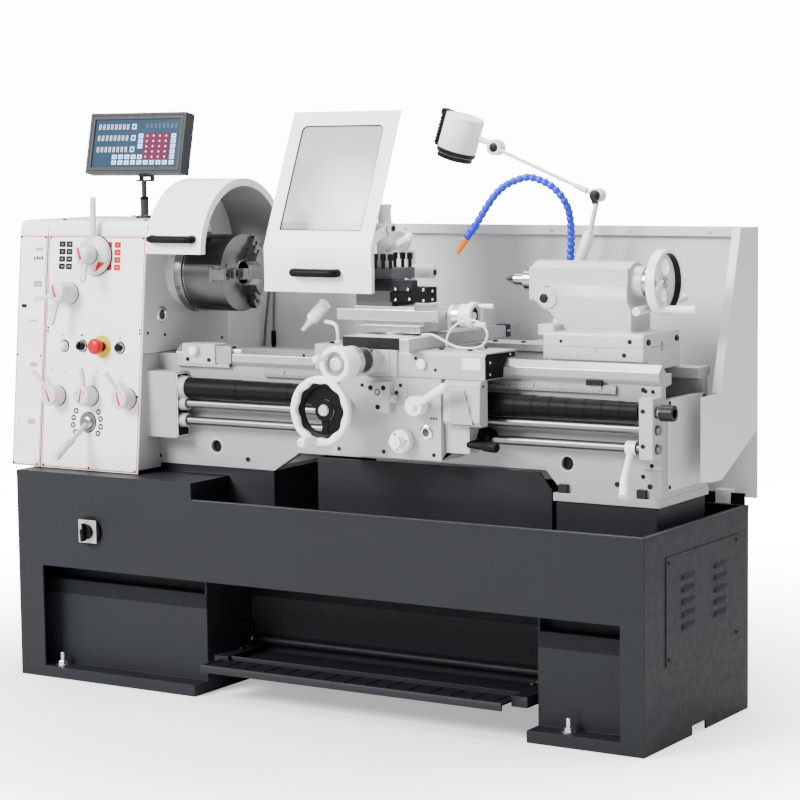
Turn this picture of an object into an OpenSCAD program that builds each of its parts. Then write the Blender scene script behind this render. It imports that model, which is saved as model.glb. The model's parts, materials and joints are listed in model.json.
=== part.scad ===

// Gap-bed engine lathe on a welded cabinet base.
// +X runs from the headstock to the tailstock, +Y to the back, +Z up.
// Machine coordinates start at the front left foot corner; place() moves
// them so that the row frame starts under the middle of the machine.

/* [Base] */
// Length of the cabinet base
base_l = 1850; // [1700:10:1900]
// Depth of the cabinet base
base_d = 573; // [560:1:590]
// Height of the base under the headstock
base_h = 550; // [540:1:555]
// Height of the chip tray rim
rim_h = 507; // [480:1:520]
// Sheet thickness of the base
base_t = 6; // [4:1:8]

/* [Bed and spindle] */
// Height of the spindle axis above the floor
axis_z = 1066; // [1060:1:1070]
// Spindle bore radius
bore_r = 26; // [20:1:28]
// Chuck body radius
chuck_r = 100; // [90:1:105]
// Width of the opening of the bed between the rails
rail_gap = 144; // [130:2:146]

/* [Rods] */
// Height of the leadscrew axis
screw_z = 777; // [775:1:780]
// Height of the feed rod axis
feed_z = 736; // [734:1:738]
// Height of the start and stop rod axis
ctl_z = 692; // [690:1:694]
// Distance of the three rods from the front face of the base
rod_y = 133; // [132:1:134]

/* [Handwheels] */
// Outer radius of the apron handwheel
apron_wheel_r = 85; // [70:1:88]
// Outer radius of the tailstock handwheel
tail_wheel_r = 78; // [60:1:82]

/* [Hidden] */
$fn = 48;
OX = 898; OY = 230;
AY = 287;
lean = 5.563;
tl = tan(lean);
slate = "#444a51"; dark = "#24282c"; white = "#e3e4e5"; steel = "#b9bcc0"; black = "#1b1c1e"; grey = "#8f9397";

module place() { translate([-OX,-OY,0]) children(); }
module bx(x0,y0,z0,x1,y1,z1) { translate([x0,y0,z0]) cube([x1-x0,y1-y0,z1-z0]); }
module cx(x0,x1,y,z,r) { translate([x0,y,z]) rotate([0,90,0]) cylinder(r=r,h=x1-x0); }
module cy(y0,y1,x,z,r) { translate([x,y1,z]) rotate([90,0,0]) cylinder(r=r,h=y1-y0); }
module cz(z0,z1,x,y,r) { translate([x,y,z0]) cylinder(r=r,h=z1-z0); }
module rod(p,q,r,r2=0) { v=q-p; h=norm(v); translate(p) rotate([0,acos(v[2]/h),atan2(v[1],v[0])]) cylinder(r1=r,r2=r2==0?r:r2,h=h); }
module px(x0,x1,pts) { translate([x0,0,0]) rotate([90,0,90]) linear_extrude(x1-x0) polygon(pts); }
module py(y0,y1,pts) { translate([0,y1,0]) rotate([90,0,0]) linear_extrude(y1-y0) polygon(pts); }
// ring about +Z from z0 to z1
module ring(z0,z1,ri,ro) { translate([0,0,z0]) difference() { cylinder(r=ro,h=z1-z0); translate([0,0,-1]) cylinder(r=ri,h=z1-z0+2); } }
// local frame on the leaning front panel: +z out of the panel, +y up along it
module on_panel(x,z) { translate([x,60+(z-552)*tl,z]) rotate([90-lean,0,0]) children(); }
module hexbolt(x,y,z,r,h) { translate([x,y,z]) cylinder(r=r,h=h,$fn=6); }

// ---------- base ----------
module base_cabinet() { color(slate) place() {
  difference() {
    union() {
      difference() { bx(0,0,0,base_l,base_t,base_h); bx(577,-1,rim_h,base_l+1,base_t+1,base_h+1); bx(83,-1,30,base_l-62,base_t+1,302); bx(577,-1,-1,1543,base_t+1,31); }
      bx(0,0,0,base_t,base_d,base_h);
      difference() { bx(base_l-base_t,0,0,base_l,base_d,rim_h); bx(base_l-20,255,-1,base_l+1,330,22); }
      difference() { bx(0,base_d-base_t,0,base_l,base_d,rim_h); bx(577,base_d-20,-1,1543,base_d+1,130); }
      bx(0,0,rim_h-1,577,base_t,base_h); bx(0,base_d-base_t,rim_h-1,577,base_d,base_h); bx(571,0,300,577,base_d,base_h);
      // top deck under the headstock end
      bx(0,0,base_h-6,577,base_d,base_h);
      // leg panels, set back under the tray
      for (s=[[base_t,577,571],[1543,base_l-base_t,1543]]) { bx(s[0],58,24,s[1],64,254); bx(s[2],58,0,s[2]+6,base_d-1,306); bx(s[0],58,250,s[1],96,256); bx(s[0],90,250,s[1],96,306); bx(s[0],0,24,s[1],60,30); bx(s[0],base_d-60,24,s[1],base_d-1,30); }
      bx(571,0,0,577,60,30); bx(1543,0,0,1549,60,30); bx(base_t,0,0,83,base_t,30);
      bx(0,0,300,base_l,base_d,306);
      // folded rim
      bx(577,0,rim_h-4,base_l,14,rim_h); bx(base_l-14,0,rim_h-4,base_l,base_d,rim_h); bx(577,base_d-14,rim_h-4,base_l,base_d,rim_h);
      // tray floor
      bx(572,3,398,base_l-3,base_d-3,402);
      // riser boxes that carry the bed
      difference() { bx(577,166,300,719,410,570.7); bx(591,172,312,713,404,566); }
      difference() { bx(1540,158,300,1806,416,550.7); bx(1546,164,312,1800,410,546); }
      bx(31,166,543,719,410,570.7);
      // chip deflector under the bed
      py(150,156,[[864,400],[1533.5,400],[1533.5,577],[1500,617],[864,617]]);
      // panel between the legs, behind the pedal's shaft
      bx(576,256,75,1544,259,301); bx(576,256,75,1544,272,78);
      bx(864,155,400,870,415,617);
      // plate under the drive motor
      bx(base_t-1,225,24,572,440,30);
      // pivots of the brake pedal
      cx(576,596,240,110,6); cx(1524,1544,240,110,6);
    }
    for (x=[118,1640]) for (y=[30,base_d-26]) cz(-1,40,x,y,9);
    cy(-5,10,248,404,5.05);
    for (y=[255,405]) for (x=[175,345]) cz(20,40,x,y,5.05);
    for (x=[120]) bx(x,140,base_h-8,x+60,160,base_h+1);
  }
} }
module levelling_bolts() { color("#c9ccd2") place() for (x=[118,1640]) for (y=[30,base_d-26]) { cz(0,64,x,y,7); hexbolt(x,y,30.2,13,11); cz(0,3,x,y,16); } }
// ---------- bed ----------
module rail_front(x0,x1) { px(x0,x1,[[163,700],[163,835],[150,847],[150,866],[167,884],[184,866],[189,861],[AY-rail_gap/2,861],[AY-rail_gap/2,835],[185,830],[185,700]]); }
module rail_back(x0,x1) { px(x0,x1,[[389,700],[389,830],[AY+rail_gap/2,835],[AY+rail_gap/2,861],[424,861],[424,842],[411,835],[411,700]]); }
module bed() { color(white) place() {
  difference() {
    union() {
      for (y=[163,389]) py(y,y+22,[[45,571],[722,571],[800,621],[1510,621],[1556,571],[1815,571],[1815,830],[45,830]]);
      rail_front(595,1815); rail_back(595,1815);
      bx(45,163,700,425,AY-rail_gap/2,861); bx(45,AY+rail_gap/2,700,425,411,861);
      bx(425,163,700,595,185,826.7); bx(425,389,700,595,411,826.7);
      for (x=[45,425,722,930,1140,1350,1556]) bx(x,180,640,x+18,394,826);
      bx(1797,180,571,1815,394,800);
      bx(60,163,571,722,411,583);
      bx(1534,153,551,1813,422,571.1);
    }
    cy(150,200,540,624,17); cy(150,200,1568,641,17);
  }
} }
module gap_bridge() { color(white) place() difference() {
  px(425.3,594.7,[[150,830.3],[150,866],[167,884],[184,866],[189,861],[385,861],[424,861],[424,830.3]]);
  bx(440,AY-rail_gap/2,820,580,AY+rail_gap/2,900);
  cx(424,430,163,845,3);
} }
module rack() { color(steel) place() { bx(700,155,812,1700,163,832); for (x=[760:180:1660]) cy(152,156,x,826,5); } }
module motor() { color(grey) place() difference() { union() { cx(120,400,330,170,95); bx(150,250,30.2,370,410,90); bx(160,240,30.2,190,420,60); bx(330,240,30.2,360,420,60); cx(80,121,330,170,14); cx(400,420,330,170,80); cx(76,96,330,170,55); bx(220,300,255,300,360,290); } for (y=[255,405]) for (x=[175,345]) cz(20,70,x,y,5); } }
// ---------- headstock ----------
function hf(z,d) = 60+(z-552)*tl+d;
module headstock_casting() { color(white) place() difference() {
  union() { px(40,360,[[hf(862,6),861.3],[hf(1166,6),1166],[470,1166],[470,861.3]]); cx(358,384,AY,axis_z,88);
    // pivot pin of the chuck guard
    cx(344,372,472,1140,14); cx(372,552,472,1140,5);
    // hinge lugs and pins of the gear cover
    for (z=[890,1080]) { bx(33,474,z,62,483,z+6); cz(z,z+6,36,478,7); bx(46,469,z,62,483,z+6); cz(z+5,z+54,36,478,3); } }
  px(56,344,[[hf(880,26),880],[hf(1150,26),1150],[454,1150],[454,880]]);
  cx(30,390,AY,axis_z,60);
} }
module headstock_cover() { color(white) place() difference() {
  px(40,360,[[hf(1166.3,3),1166.3],[hf(1190,3),1190],[hf(1196,6),1199],[hf(1200,12),1203.5],[hf(1200,22),1205],[455,1205],[465,1201],[472,1192],[472,1166.3]]);
  px(52,348,[[hf(1166,22),1160],[hf(1166,22),1192],[450,1192],[450,1160]]);
} }
module front_panel() { color(white) place() difference() {
  px(34,360,[[60,552],[64,552],[64+614*tl,1166],[60+614*tl,1166]]);
  for (p=[[198,1114],[114,1013],[86,743],[196,747],[322,745],[190,678],[161,877],[228,877],[287,876]]) on_panel(p[0],p[1]) translate([0,0,-20]) cylinder(r=8.05,h=40);
} }
module feed_gearbox() { color(white) place() difference() {
  union() {
    px(40,360,[[hf(560,6),560],[hf(861,6),861],[162.7,861],[162.7,560]]);
    bx(360,108,646,455,162.7,818); cx(360,455,118,728,10);
    cx(455,462,rod_y,screw_z,29.4); cx(462,480,rod_y,screw_z,28); cx(455,476,rod_y,feed_z,18); cx(455,476,rod_y,ctl_z,18);
  }
  px(56,344,[[hf(580,26),580],[hf(845,26),845],[150,845],[150,580]]);
  cx(440,490,rod_y,screw_z,13.05); cx(440,490,rod_y,feed_z,11.05); cx(440,490,rod_y,ctl_z,11.05);
  bx(345,122,660,430,150,806);
} }
module gear_cover() { color(white) place() difference() {
  union() {
    px(-66,30,[[60,552],[60+616*tl,1168],[hf(1190,2),1190],[hf(1196,6),1199],[hf(1200,12),1203.5],[hf(1200,22),1205],[455,1205],[465,1201],[472,1192],[472,552]]);
    for (z=[896.3,1086.3]) { cz(z,z+47.4,36,478,6); bx(20,471.5,z,36,476,z+47.4); }
  }
  px(-63,31,[[63,555],[63+616*tl,1168],[hf(1190,6),1190],[hf(1200,22),1201],[452,1201],[462,1197],[469,1188],[469,555]]);
  cx(-80,0,AY,axis_z,40);
  cz(600,1150,36,478,3.05);
} }
module spindle() { color(steel) place() difference() {
  union() { cx(-30,384,AY,axis_z,38); cx(384.3,397,AY,axis_z,80); cx(383,385,AY,axis_z,59.95); cx(40,60,AY,axis_z,59.95); cx(340,384,AY,axis_z,59.95); cx(120,150,AY,axis_z,80); cx(180,200,AY,axis_z,66); cx(-30,-10,AY,axis_z,50); }
  cx(-31,398,AY,axis_z,bore_r);
} }
module chuck_body() { color("#9a9da1") place() difference() {
  union() { cx(397,419,AY,axis_z,chuck_r+5); cx(419,546,AY,axis_z,chuck_r); }
  cx(390,547,AY,axis_z,28);
  for (a=[180,60,-60]) translate([0,AY,axis_z]) rotate([a,0,0]) { translate([520,0,-14.3]) cube([30,110,28.6]); translate([508,0,-20.3]) cube([12.5,110,40.6]); }
  for (a=[0,120,240]) translate([0,AY,axis_z]) rotate([a,0,0]) translate([470,chuck_r+1,0]) rotate([90,0,0]) cylinder(r=9,h=24);
} }
module jaw(a) { color("#aeb1b5") place() translate([0,AY,axis_z]) rotate([a,0,0]) translate([0,0,-14]) difference() {
  union() { translate([520.6,28,0]) cube([25.4,74,28]); translate([508.6,34,-6]) cube([11.9,66,40]); translate([519,34,0]) cube([3,64,28]);
    translate([545,28,0]) cube([40,24,28]); translate([545,51,0]) cube([27,24,28]); translate([545,74,0]) cube([14,28,28]); }
  translate([532,63,14]) rotate([0,90,0]) cylinder(r=5,h=60); translate([532,88,14]) rotate([0,90,0]) cylinder(r=5,h=60);
} }
module chuck_jaw_1() { jaw(180); }
module chuck_jaw_2() { jaw(60); }
module chuck_jaw_3() { jaw(-60); }
module chuck_guard() {
  color(white) place() difference() {
    union() {
      translate([373,290,1122]) rotate([0,90,0]) difference() { cylinder(r=190,h=176,$fn=96); translate([0,0,-1]) cylinder(r=187,h=178,$fn=96); translate([0,-300,-1]) cube([300,600,180]); }
      translate([546,290,1122]) rotate([0,90,0]) difference() { cylinder(r=188,h=3,$fn=96); translate([0,0,-1]) cylinder(r=170,h=5,$fn=96); translate([0,-300,-1]) cube([300,600,180]); }
      difference() { translate([373,290,1122]) rotate([0,90,0]) difference() { cylinder(r=188,h=3,$fn=96); translate([0,-300,-1]) cube([300,600,180]); } px(370,380,[[195,1100],[195,1180],[240,1232],[340,1232],[385,1180],[385,1100]]); }
      bx(384,472,1128,530,480,1150); cx(384,530,472,1140,9);
    }
    cx(360,560,472,1140,5.05);
  }
  color(black) place() { rod([392,84,1160],[526,84,1160],7); rod([400,84,1160],[400,106,1160],5); rod([518,84,1160],[518,106,1160],5); }
}
module dro_mast() { color("#45494e") place() { bx(179,307,1205.3,213,343,1212); cz(1211,1256,196,325,11); cz(1255,1308,196,325,7); bx(175,316,1303,217,346,1308); for (s=[175,212]) bx(s,330.5,1303,s+5,346,1329); cx(174,218,337,1322,3); } }
module dro_console() { color("#45494e") place() translate([196,327,1322]) rotate([-12,0,0]) { difference() { translate([-174,-38,-4]) cube([324,38,165]); translate([-166,-39,4]) cube([308,5,149]); } } color("#45494e") place() difference() { union() { bx(180.3,322,1315,211.7,337,1331); cx(180.3,211.7,337,1322,7.5); } cx(178,214,337,1322,3.05); } }
// ---------- controls on the panel ----------
module grip(p,q,r0,r1) { rod(p,q,r0,r1); translate(q) sphere(r=r1+0.5); }
module speed_dial() { color(white) place() on_panel(198,1114) difference() { union() {
  translate([0,0,-5]) cylinder(r=8,h=10); rotate_extrude() polygon([[0,2],[50,2],[52,6],[52,14],[46,20],[26,25],[0,25]]);
  rod([-2,30,13],[-4,152,19],7,8.5); } translate([0,0,15]) cylinder(r=6.05,h=20); } }
module speed_lever() { color(white) place() on_panel(198,1114) { translate([0,0,16]) cylinder(r=6,h=12); rotate_extrude() polygon([[0,25.4],[23,25.4],[24,28],[24,54],[20,62],[0,66]]); grip([0,-12,52],[10,-72,66],7,9); } }
module range_dial() { color(white) place() on_panel(114,1013) { translate([0,0,-5]) cylinder(r=8,h=8); translate([0,0,1.5]) cylinder(r=28,h=44); translate([0,0,45]) cylinder(r1=28,r2=24,h=14); grip([-4,-18,44],[-14,-80,58],6,8); grip([-18,-4,30],[-86,-20,40],6,7); } }
module selector(x,z,dx,dy) { color(white) place() on_panel(x,z) { translate([0,0,-5]) cylinder(r=8,h=8); translate([0,0,1.5]) cylinder(r=26.5,h=43); rod([dx*0.25,dy*0.25,24],[dx,dy,40],5,7.5); translate([dx,dy,40]) sphere(r=8.2); } }
module selector_lever_1() { selector(86,743,-56,62); }
module selector_lever_2() { selector(196,747,-4,70); }
module selector_lever_3() { selector(322,745,-46,62); }
module gear_handle() { color(white) place() on_panel(190,678) { translate([0,0,-5]) cylinder(r=8,h=14); translate([0,0,1.5]) cylinder(r=19,h=10); rod([-1,-6.4,8],[-12,-84,100],6.5); rod([-5.6,-39,46],[-13,-91,108],10); } }
module pump_switch() { color(black) place() on_panel(161,877) { translate([0,0,-5]) cylinder(r=8,h=12); translate([0,0,6]) cylinder(r=11,h=12); translate([-3,-10,17]) cube([6,20,7]); } }
module jog_button() { color(black) place() on_panel(287,876) { translate([0,0,-1]) cylinder(r=8,h=9); translate([0,0,7.5]) cylinder(r=10,h=6); } }
module emergency_stop() { color("#c8202c") place() on_panel(228,877) { translate([0,0,-0.5]) cylinder(r=8,h=19.5); rotate_extrude() polygon([[0,18],[16,18],[21,24],[21,33],[18,38],[10,41],[0,42]]); } }
module main_switch() { color(black) place() translate([248,-1.5,404]) rotate([90,0,0]) { translate([0,0,-9]) cylinder(r=5,h=10); cylinder(r=21,h=8); translate([0,0,7]) cylinder(r=15,h=14); translate([-5,-22,8]) cube([10,44,20]); } }
module brake_pedal() { color(dark) place() difference() { union() { cx(584,1536,240,110,12); bx(596,60,78,640,236,100); bx(1486,30,74,1530,236,100); bx(612,-20,84,1487,76,90); bx(612,-20,74,1487,-16,90); bx(612,72,74,1487,76,100); } cx(580,598,240,110,6.05); cx(1522,1540,240,110,6.05); } }
// ---------- screws, rods and covers ----------
module leadscrew() { color(steel) place() { cx(441,1836,rod_y,screw_z,13); color(black) cx(1829,1862,rod_y,screw_z,19); } }
module feed_rod() { color(steel) place() cx(441,1826,rod_y,feed_z,11); }
module control_rod() { color(steel) place() { cx(441,1826,rod_y,ctl_z,11); color(white) difference() { cx(1742,1768,rod_y,ctl_z,17); } color(white) { rod([1755,rod_y-10,ctl_z-8],[1762,78,628],8,9); rod([1762,78,628],[1776,44,590],10,11); } } }
module cover(xa,ra,xb,rb,n) { for (i=[0:n-1]) { x0=xa+(xb-xa)*i/n; x1=xa+(xb-xa)*(i+1)/n; r=ra+(rb-ra)*i/n; ro=(xb>xa)?r:r; translate([min(x0,x1),rod_y,screw_z]) rotate([0,90,0]) difference() { cylinder(r=ro,h=abs(x1-x0)+0.01); translate([0,0,-1]) cylinder(r=14.5,h=abs(x1-x0)+3); } } }
module screw_cover_left() { color(black) place() cover(481,27,962,24,3); }
module screw_cover_right() { color(black) place() cover(1360,29,1776,22,9); }
module screw_end_bracket() { color(white) place() difference() {
  union() { bx(1768,156,640,1818,162.7,834); bx(1782,110,668,1818,154.3,812); }
  cx(1780,1830,rod_y,screw_z,13.05); cx(1780,1830,rod_y,feed_z,11.05); cx(1780,1830,rod_y,ctl_z,11.05);
} }
// ---------- carriage ----------
module saddle() { color(white) place() difference() {
  union() {
    px(868,1402,[[66,838],[66,897],[72,903],[440,903],[466,899],[466,838],[427,838],[427,861.4],[365,861.4],[365,884.5],[206,884.5],[206,861.4],[190,861.4],[167.2,885.4],[149.4,866.4],[147.4,838]]);
    bx(1010,60,838,1160,150,903);
    cy(30,66,1085,880,36); bx(1030,58,846,1140,70,903);
    cy(60,68,1228,872,13);
    bx(1320,440,886,1402,545,903);
    // scale of the cross slide
    bx(1186,30,904,1214,566,934); bx(1190,70,902,1210,110,905); bx(1190,420,902,1210,465,905);
  }
  bx(860,60,830,962,139,910);
  bx(860,214,830,985,352,910); bx(1218,214,830,1403,352,910);
  cy(29,146,1085,880,10.05);
  bx(1060,28,884,1110,52,930);
  bx(1030,29,903,1140,67,930);
  cz(880,910,1352,490,8.05);
} }
module apron() { color(white) place() difference() {
  union() { bx(969,60,641,1283,162,837.6); bx(1080,40,752,1150,61,826); cx(1150,1166,48,786,9); bx(1283,76,660,1352,120,834); px(1295,1396,[[48,740],[52,829],[60,837.6],[88,837.6],[88,728],[60,728]]); px(1283,1350,[[92,668],[92,724],[160,724],[160,668]]);
    cy(52,61,1180,686,30); cy(54,61,1228,775,28); cy(50,61,1010,760,26); }
  bx(983,74,655,1269,162.5,800);
  bx(960,148.5,790,1400,163,838);
  cx(950,1400,rod_y,screw_z,32); cx(950,1400,rod_y,feed_z,12.5); cx(950,1400,rod_y,ctl_z,12.5);
  cy(45,120,1010,760,10.05); cy(45,120,1228,775,8.05); cy(45,120,1180,686,6.05);
} }
module apron_handwheel() { color(white) place() translate([1010,0,760]) rotate([90,0,0]) {
  // ring, web with three openings, hub and crank grip; local +z is towards the operator
  ring(30,56,apron_wheel_r-15,apron_wheel_r);
  difference() { translate([0,0,22]) cylinder(r=apron_wheel_r-14.5,h=9);
    for (a=[90,210,330]) rotate([0,0,a]) translate([0,0,20]) linear_extrude(14) polygon([for (t=[-48:6:48]) [(apron_wheel_r-21)*cos(t),(apron_wheel_r-21)*sin(t)], for (t=[34:-8.5:-34]) [32*cos(t),32*sin(t)]]); }
  translate([0,0,-49]) cylinder(r=18,h=80); translate([0,0,-100]) cylinder(r=10,h=60);
  rod([-22,-76,50],[10,-84,50],5,5); translate([-18,-72,50]) rotate([0,0,0]) cylinder(r1=10,r2=13,h=60);
} }
module half_nut_lever() { color(white) place() { cy(12,100,1228,775,8); cy(22,51.5,1228,775,24); rod([1228,30,775],[1322,5,824],8,11.4); } }
module feed_knob() { color(white) place() { cy(20,100,1180,686,6); cy(34,51.5,1180,686,28); translate([1180,34,686]) rotate([90,0,0]) cylinder(r=17,h=22,$fn=6); } }
module carriage_lever() { color(black) place() difference() { union() { cx(1352.5,1384,rod_y,ctl_z,23.5); rod([1368,rod_y-20,ctl_z],[1372,40,ctl_z-4],6,8); rod([1372,40,ctl_z-4],[1446,36,ctl_z-6],7,11); } cx(1340,1390,rod_y,ctl_z,11.05); } }
module cross_slide() { color(grey) place() { difference() { union() { bx(1000,76,903.4,1165,540,932); bx(1000,66,905,1165,77,932);
  // bracket, disc and turning knob that stand behind the tool post
  bx(975,392,931,1040,428,941); bx(975,404,940,995.6,416,1126); bx(946,404,1114,995.6,416,1126); cy(404,416,955,1147,28); cx(990,1054,410,1072,17); } cz(910,940,1085,215,15.05); } } }
module cross_handwheel() { color(white) place() translate([1085,0,880]) rotate([90,0,0]) { difference() { union() { translate([0,0,74]) cylinder(r=43,h=26); translate([0,0,22]) cylinder(r=38,h=53); translate([0,0,-28]) cylinder(r=30,h=50); translate([0,0,-142]) cylinder(r=10,h=117); } translate([0,0,84]) cylinder(r=29,h=20); } translate([0,0,80]) cylinder(r=15,h=16); translate([-26,14,98]) cylinder(r1=7,r2=9,h=46); } }
module compound_base() { color(steel) place() { cz(932.3,937,1085,215,70); bx(985,150,936,1172,280,954); cz(912,935,1085,215,15); bx(1000,160,952,1178,270,965); } }
module compound_slide() { color(white) place() difference() {
  union() { bx(930,148,965.4,1224,278,992); bx(975,160,991,1150,270,1000); cz(998,1092,1033,213,14); cz(1090,1150,1033,213,10);
    // column and bar that carry the tool guard
    translate([1033,213,1147]) cylinder(r1=21,r2=15,h=92); cz(1238,1246,1033,213,18); cx(775,1068,185,1190,12); }
  cx(1120,1230,213,979,8.05); } }
module compound_handwheel() { color(white) place() translate([1224,213,979]) rotate([0,90,0]) { translate([0,0,0.4]) cylinder(r=26,h=12); translate([0,0,12]) cylinder(r=29,h=42); translate([0,0,-100]) cylinder(r=8,h=112); translate([0,0,54]) difference() { cylinder(r=34,h=16); translate([0,0,6]) cylinder(r=22,h=12); } translate([-24,8,69]) cylinder(r1=5,r2=6.5,h=44); translate([20,-16,69]) cylinder(r1=5,r2=7,h=36); } }
module toolpost() { color(grey) place() { difference() { union() { bx(980,160,1000.4,1086,266,1092); } bx(970,150,1038,1100,178,1066); bx(970,248,1038,1100,280,1066); bx(970,150,1038,998,280,1066); bx(1068,150,1038,1100,280,1066); cz(990,1100,1033,213,14.05); }
  color(black) { for (x=[989,1010,1033,1056,1077]) for (y=[168,258]) { cz(1062,1126,x,y,4.6); translate([x,y,1112]) cylinder(r=7,h=16); } bx(990,152,1038.3,1150,176,1065.7); difference() { bx(1092,146,1012,1196,190,1050); bx(1080,140,1011,1151,177,1060); } bx(1085.7,150,1012,1152,190,1037); } } }
module toolpost_lever() { color(white) place() difference() { union() { cz(1092.4,1146.5,1033,213,20); rod([1041,209,1134],[1142,152,1171],7,10); cylinder_end([1142,152,1171],11); } cz(1090,1150,1033,213,10.05); } }
module tool_guard() {
  color(white) place() difference() { union() {
    difference() { px(747,1066,[[98,1034],[101,1034],[101,1146],[246,1478],[243,1479],[98,1147]]);
      px(783,1026,[[60,1186],[260,1186],[300,1444],[100,1444]]); }
    bx(747,98,1034,749,112,1146); bx(1064,98,1034,1066,112,1146);
    for (x=[800,1056]) { px(x,x+9,[[101.2,1150],[112.4,1176],[185,1202],[185,1178]]); cx(x,x+9,185,1190,18); }
  } cx(740,1080,185,1190,12.05); }
  color([0.8,0.82,0.84,0.5]) place() px(775,1034,[[gy(1180)+3.2,1180],[gy(1180)+6.2,1180],[gy(1450)+6.2,1450],[gy(1450)+3.2,1450]]);
  color(black) place() { rod([848,74,1082],[966,74,1082],7); rod([856,74,1082],[856,98.4,1082],5); rod([958,74,1082],[958,98.4,1082],5); }
}
// ---------- tailstock ----------
module tailstock() { color(white) place() { difference() { union() {
    px(1490,1755,[[AY-98,896],[AY-98,944],[AY-92,950],[AY+92,950],[AY+98,944],[AY+98,861.5],[AY-75,861.5],[AY-75,884.5],[AY-98,884.5]]);
    bx(1560,AY-66,861.5,1600,AY+66,950);
    py(AY-52,AY+52,[[1500,949],[1700,949],[1700,1000],[1690,1020],[1690,1060],[1440,1060],[1440,1020],[1460,1006],[1520,960]]);
    bx(1425,AY-48,1020,1690,AY+48,1100); cx(1425,1690,AY,axis_z,48);
    cy(AY-56,AY-40,1478,1026,26); cx(1690,1735,AY,axis_z,37);
    bx(1472,AY-90,940,1516,AY-40,966);
    bx(1640,338,990,1700,366,1026);
  }
  cx(1424,1640,AY,axis_z,25.05); cx(1600,1740,AY,axis_z,12.05); cx(1650,1705,352,1008,8.05);
  } } }
module quill() { color(steel) place() { cx(1392,1600,AY,axis_z,25); cx(1362,1393,AY,axis_z,15.5); translate([1332,AY,axis_z]) rotate([0,90,0]) cylinder(r1=0.6,r2=15.5,h=31); } }
module tail_handwheel() { color(white) place() translate([0,AY,axis_z]) rotate([0,90,0]) { translate([0,0,1630]) cylinder(r=12,h=112); translate([0,0,1735.4]) cylinder(r=28,h=14);
  ring(1749,1772,tail_wheel_r-9,tail_wheel_r); difference() { translate([0,0,1747]) cylinder(r=tail_wheel_r-8.5,h=8); for (a=[30,150,270]) rotate([0,0,a]) translate([40,0,1740]) cylinder(r=20,h=20); }
  translate([0,0,1748]) cylinder(r=16,h=14); translate([60,-34,1768]) cylinder(r1=8,r2=10,h=92); } }
module tail_clamp_lever() { color(white) place() { cx(1660,1712,352,1008,8); cx(1704,1738,352,1008,15); rod([1722,352,1008],[1722,217,1000.5],8,10.5); rod([1722,352,1008],[1722,480,1018],8,10.5); } }
// ---------- lamp, guard sheets ----------
module lamp_head() { color(white) place() { rod([1105,490,1463],[1073,490,1368],50,50); rod([1074,490,1371],[1069,490,1356],46,46); cy(486,504,1193,1384,20); cy(472,488,1193,1384,5); rod([1186,495,1390],[1130,492,1410],8,8); } }
module splash_guard() { color(white) place() {
  bx(380,601,520,1860,603,1186); bx(380,584,1184,1860,603,1186); bx(380,584,1162,1860,586,1186);
  px(1858,1860,[[603,1186],[500,1186],[384,800],[278,800],[278,600],[348,592],[395,592],[603,693]]);
  px(1838,1859,[[500,1186],[503,1186],[387,800],[384,800]]);
  bx(380,584,520,382,603,1186);
  bx(600,573.3,440,640,602,540); bx(1160,573.3,440,1200,602,540); bx(1760,573.3,440,1800,602,540); bx(560,573.3,440,1840,577,500);
} }
module cylinder_end(p,r) { translate(p) sphere(r=r); }
function gy(z) = 98+(z-1147)*145/332;
module lamp_lower_arm() { color(white) place() { cz(903.4,925,1352,490,22); cz(892,904,1352,490,8); rod([1358,490,920],[1459,490,1173],13,13); rod([1459,490,1173],[1478,492,1254],7,6); cy(486,504,1481,1264,17); cy(472,488,1481,1264,5); } }
module lamp_upper_arm() { color(white) place() difference() { union() { cy(475,485.6,1481,1264,17); rod([1474,480.3,1267.5],[1202,480.3,1380],4.6,4.6); rod([1457,480.3,1274.7],[1424,480.3,1288.2],8,7); cy(475,485.6,1193,1384,20); } cy(470,490,1481,1264,5.05); cy(470,490,1193,1384,5.05); } }
function hp() = [[1386,520,903.3],[1386,520,1000],[1388,518,1090],[1398,505,1160],[1402,492,1210],[1400,478,1240],[1385,466,1270],[1360,456,1293],[1318,443,1310],[1287,433,1304],[1255,423,1289],[1232,412,1265],[1214,401,1235],[1193,385,1193],[1170,369,1155]];
function cr(p0,p1,p2,p3,t) = 0.5*((2*p1)+(p2-p0)*t+(2*p0-5*p1+4*p2-p3)*t*t+(3*p1-p0-3*p2+p3)*t*t*t);
function hpt(u) = let(p=hp(),i=min(floor(u),13),t=u-i,a=p[max(i-1,0)],d=p[min(i+2,14)]) cr(a,p[i],p[i+1],d,t);
function hdir(u) = let(a=hpt(max(u-0.02,0)),b=hpt(min(u+0.02,14))) (b-a)/norm(b-a);
module tube(n,s,r) {
  pts=[for (i=[0:n]) let(c=hpt(14*i/n),w=hdir(14*i/n),u0=cross(w,[0.3,1,0.1]),u=u0/norm(u0),v=cross(w,u)) for (k=[0:s-1]) c+r*(cos(360*k/s)*u+sin(360*k/s)*v)];
  polyhedron(points=pts,faces=concat([[for (k=[0:s-1]) k]],[for (i=[0:n-1]) for (k=[0:s-1]) [i*s+k,(i+1)*s+k,(i+1)*s+(k+1)%s,i*s+(k+1)%s]],[[for (k=[s-1:-1:0]) n*s+k]]));
}
module coolant_hose() { color("#2040d0") place() tube(44,10,10.5); color("orange") place() rod([1169,368,1153],[1155,356,1121],10,5); }

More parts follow.
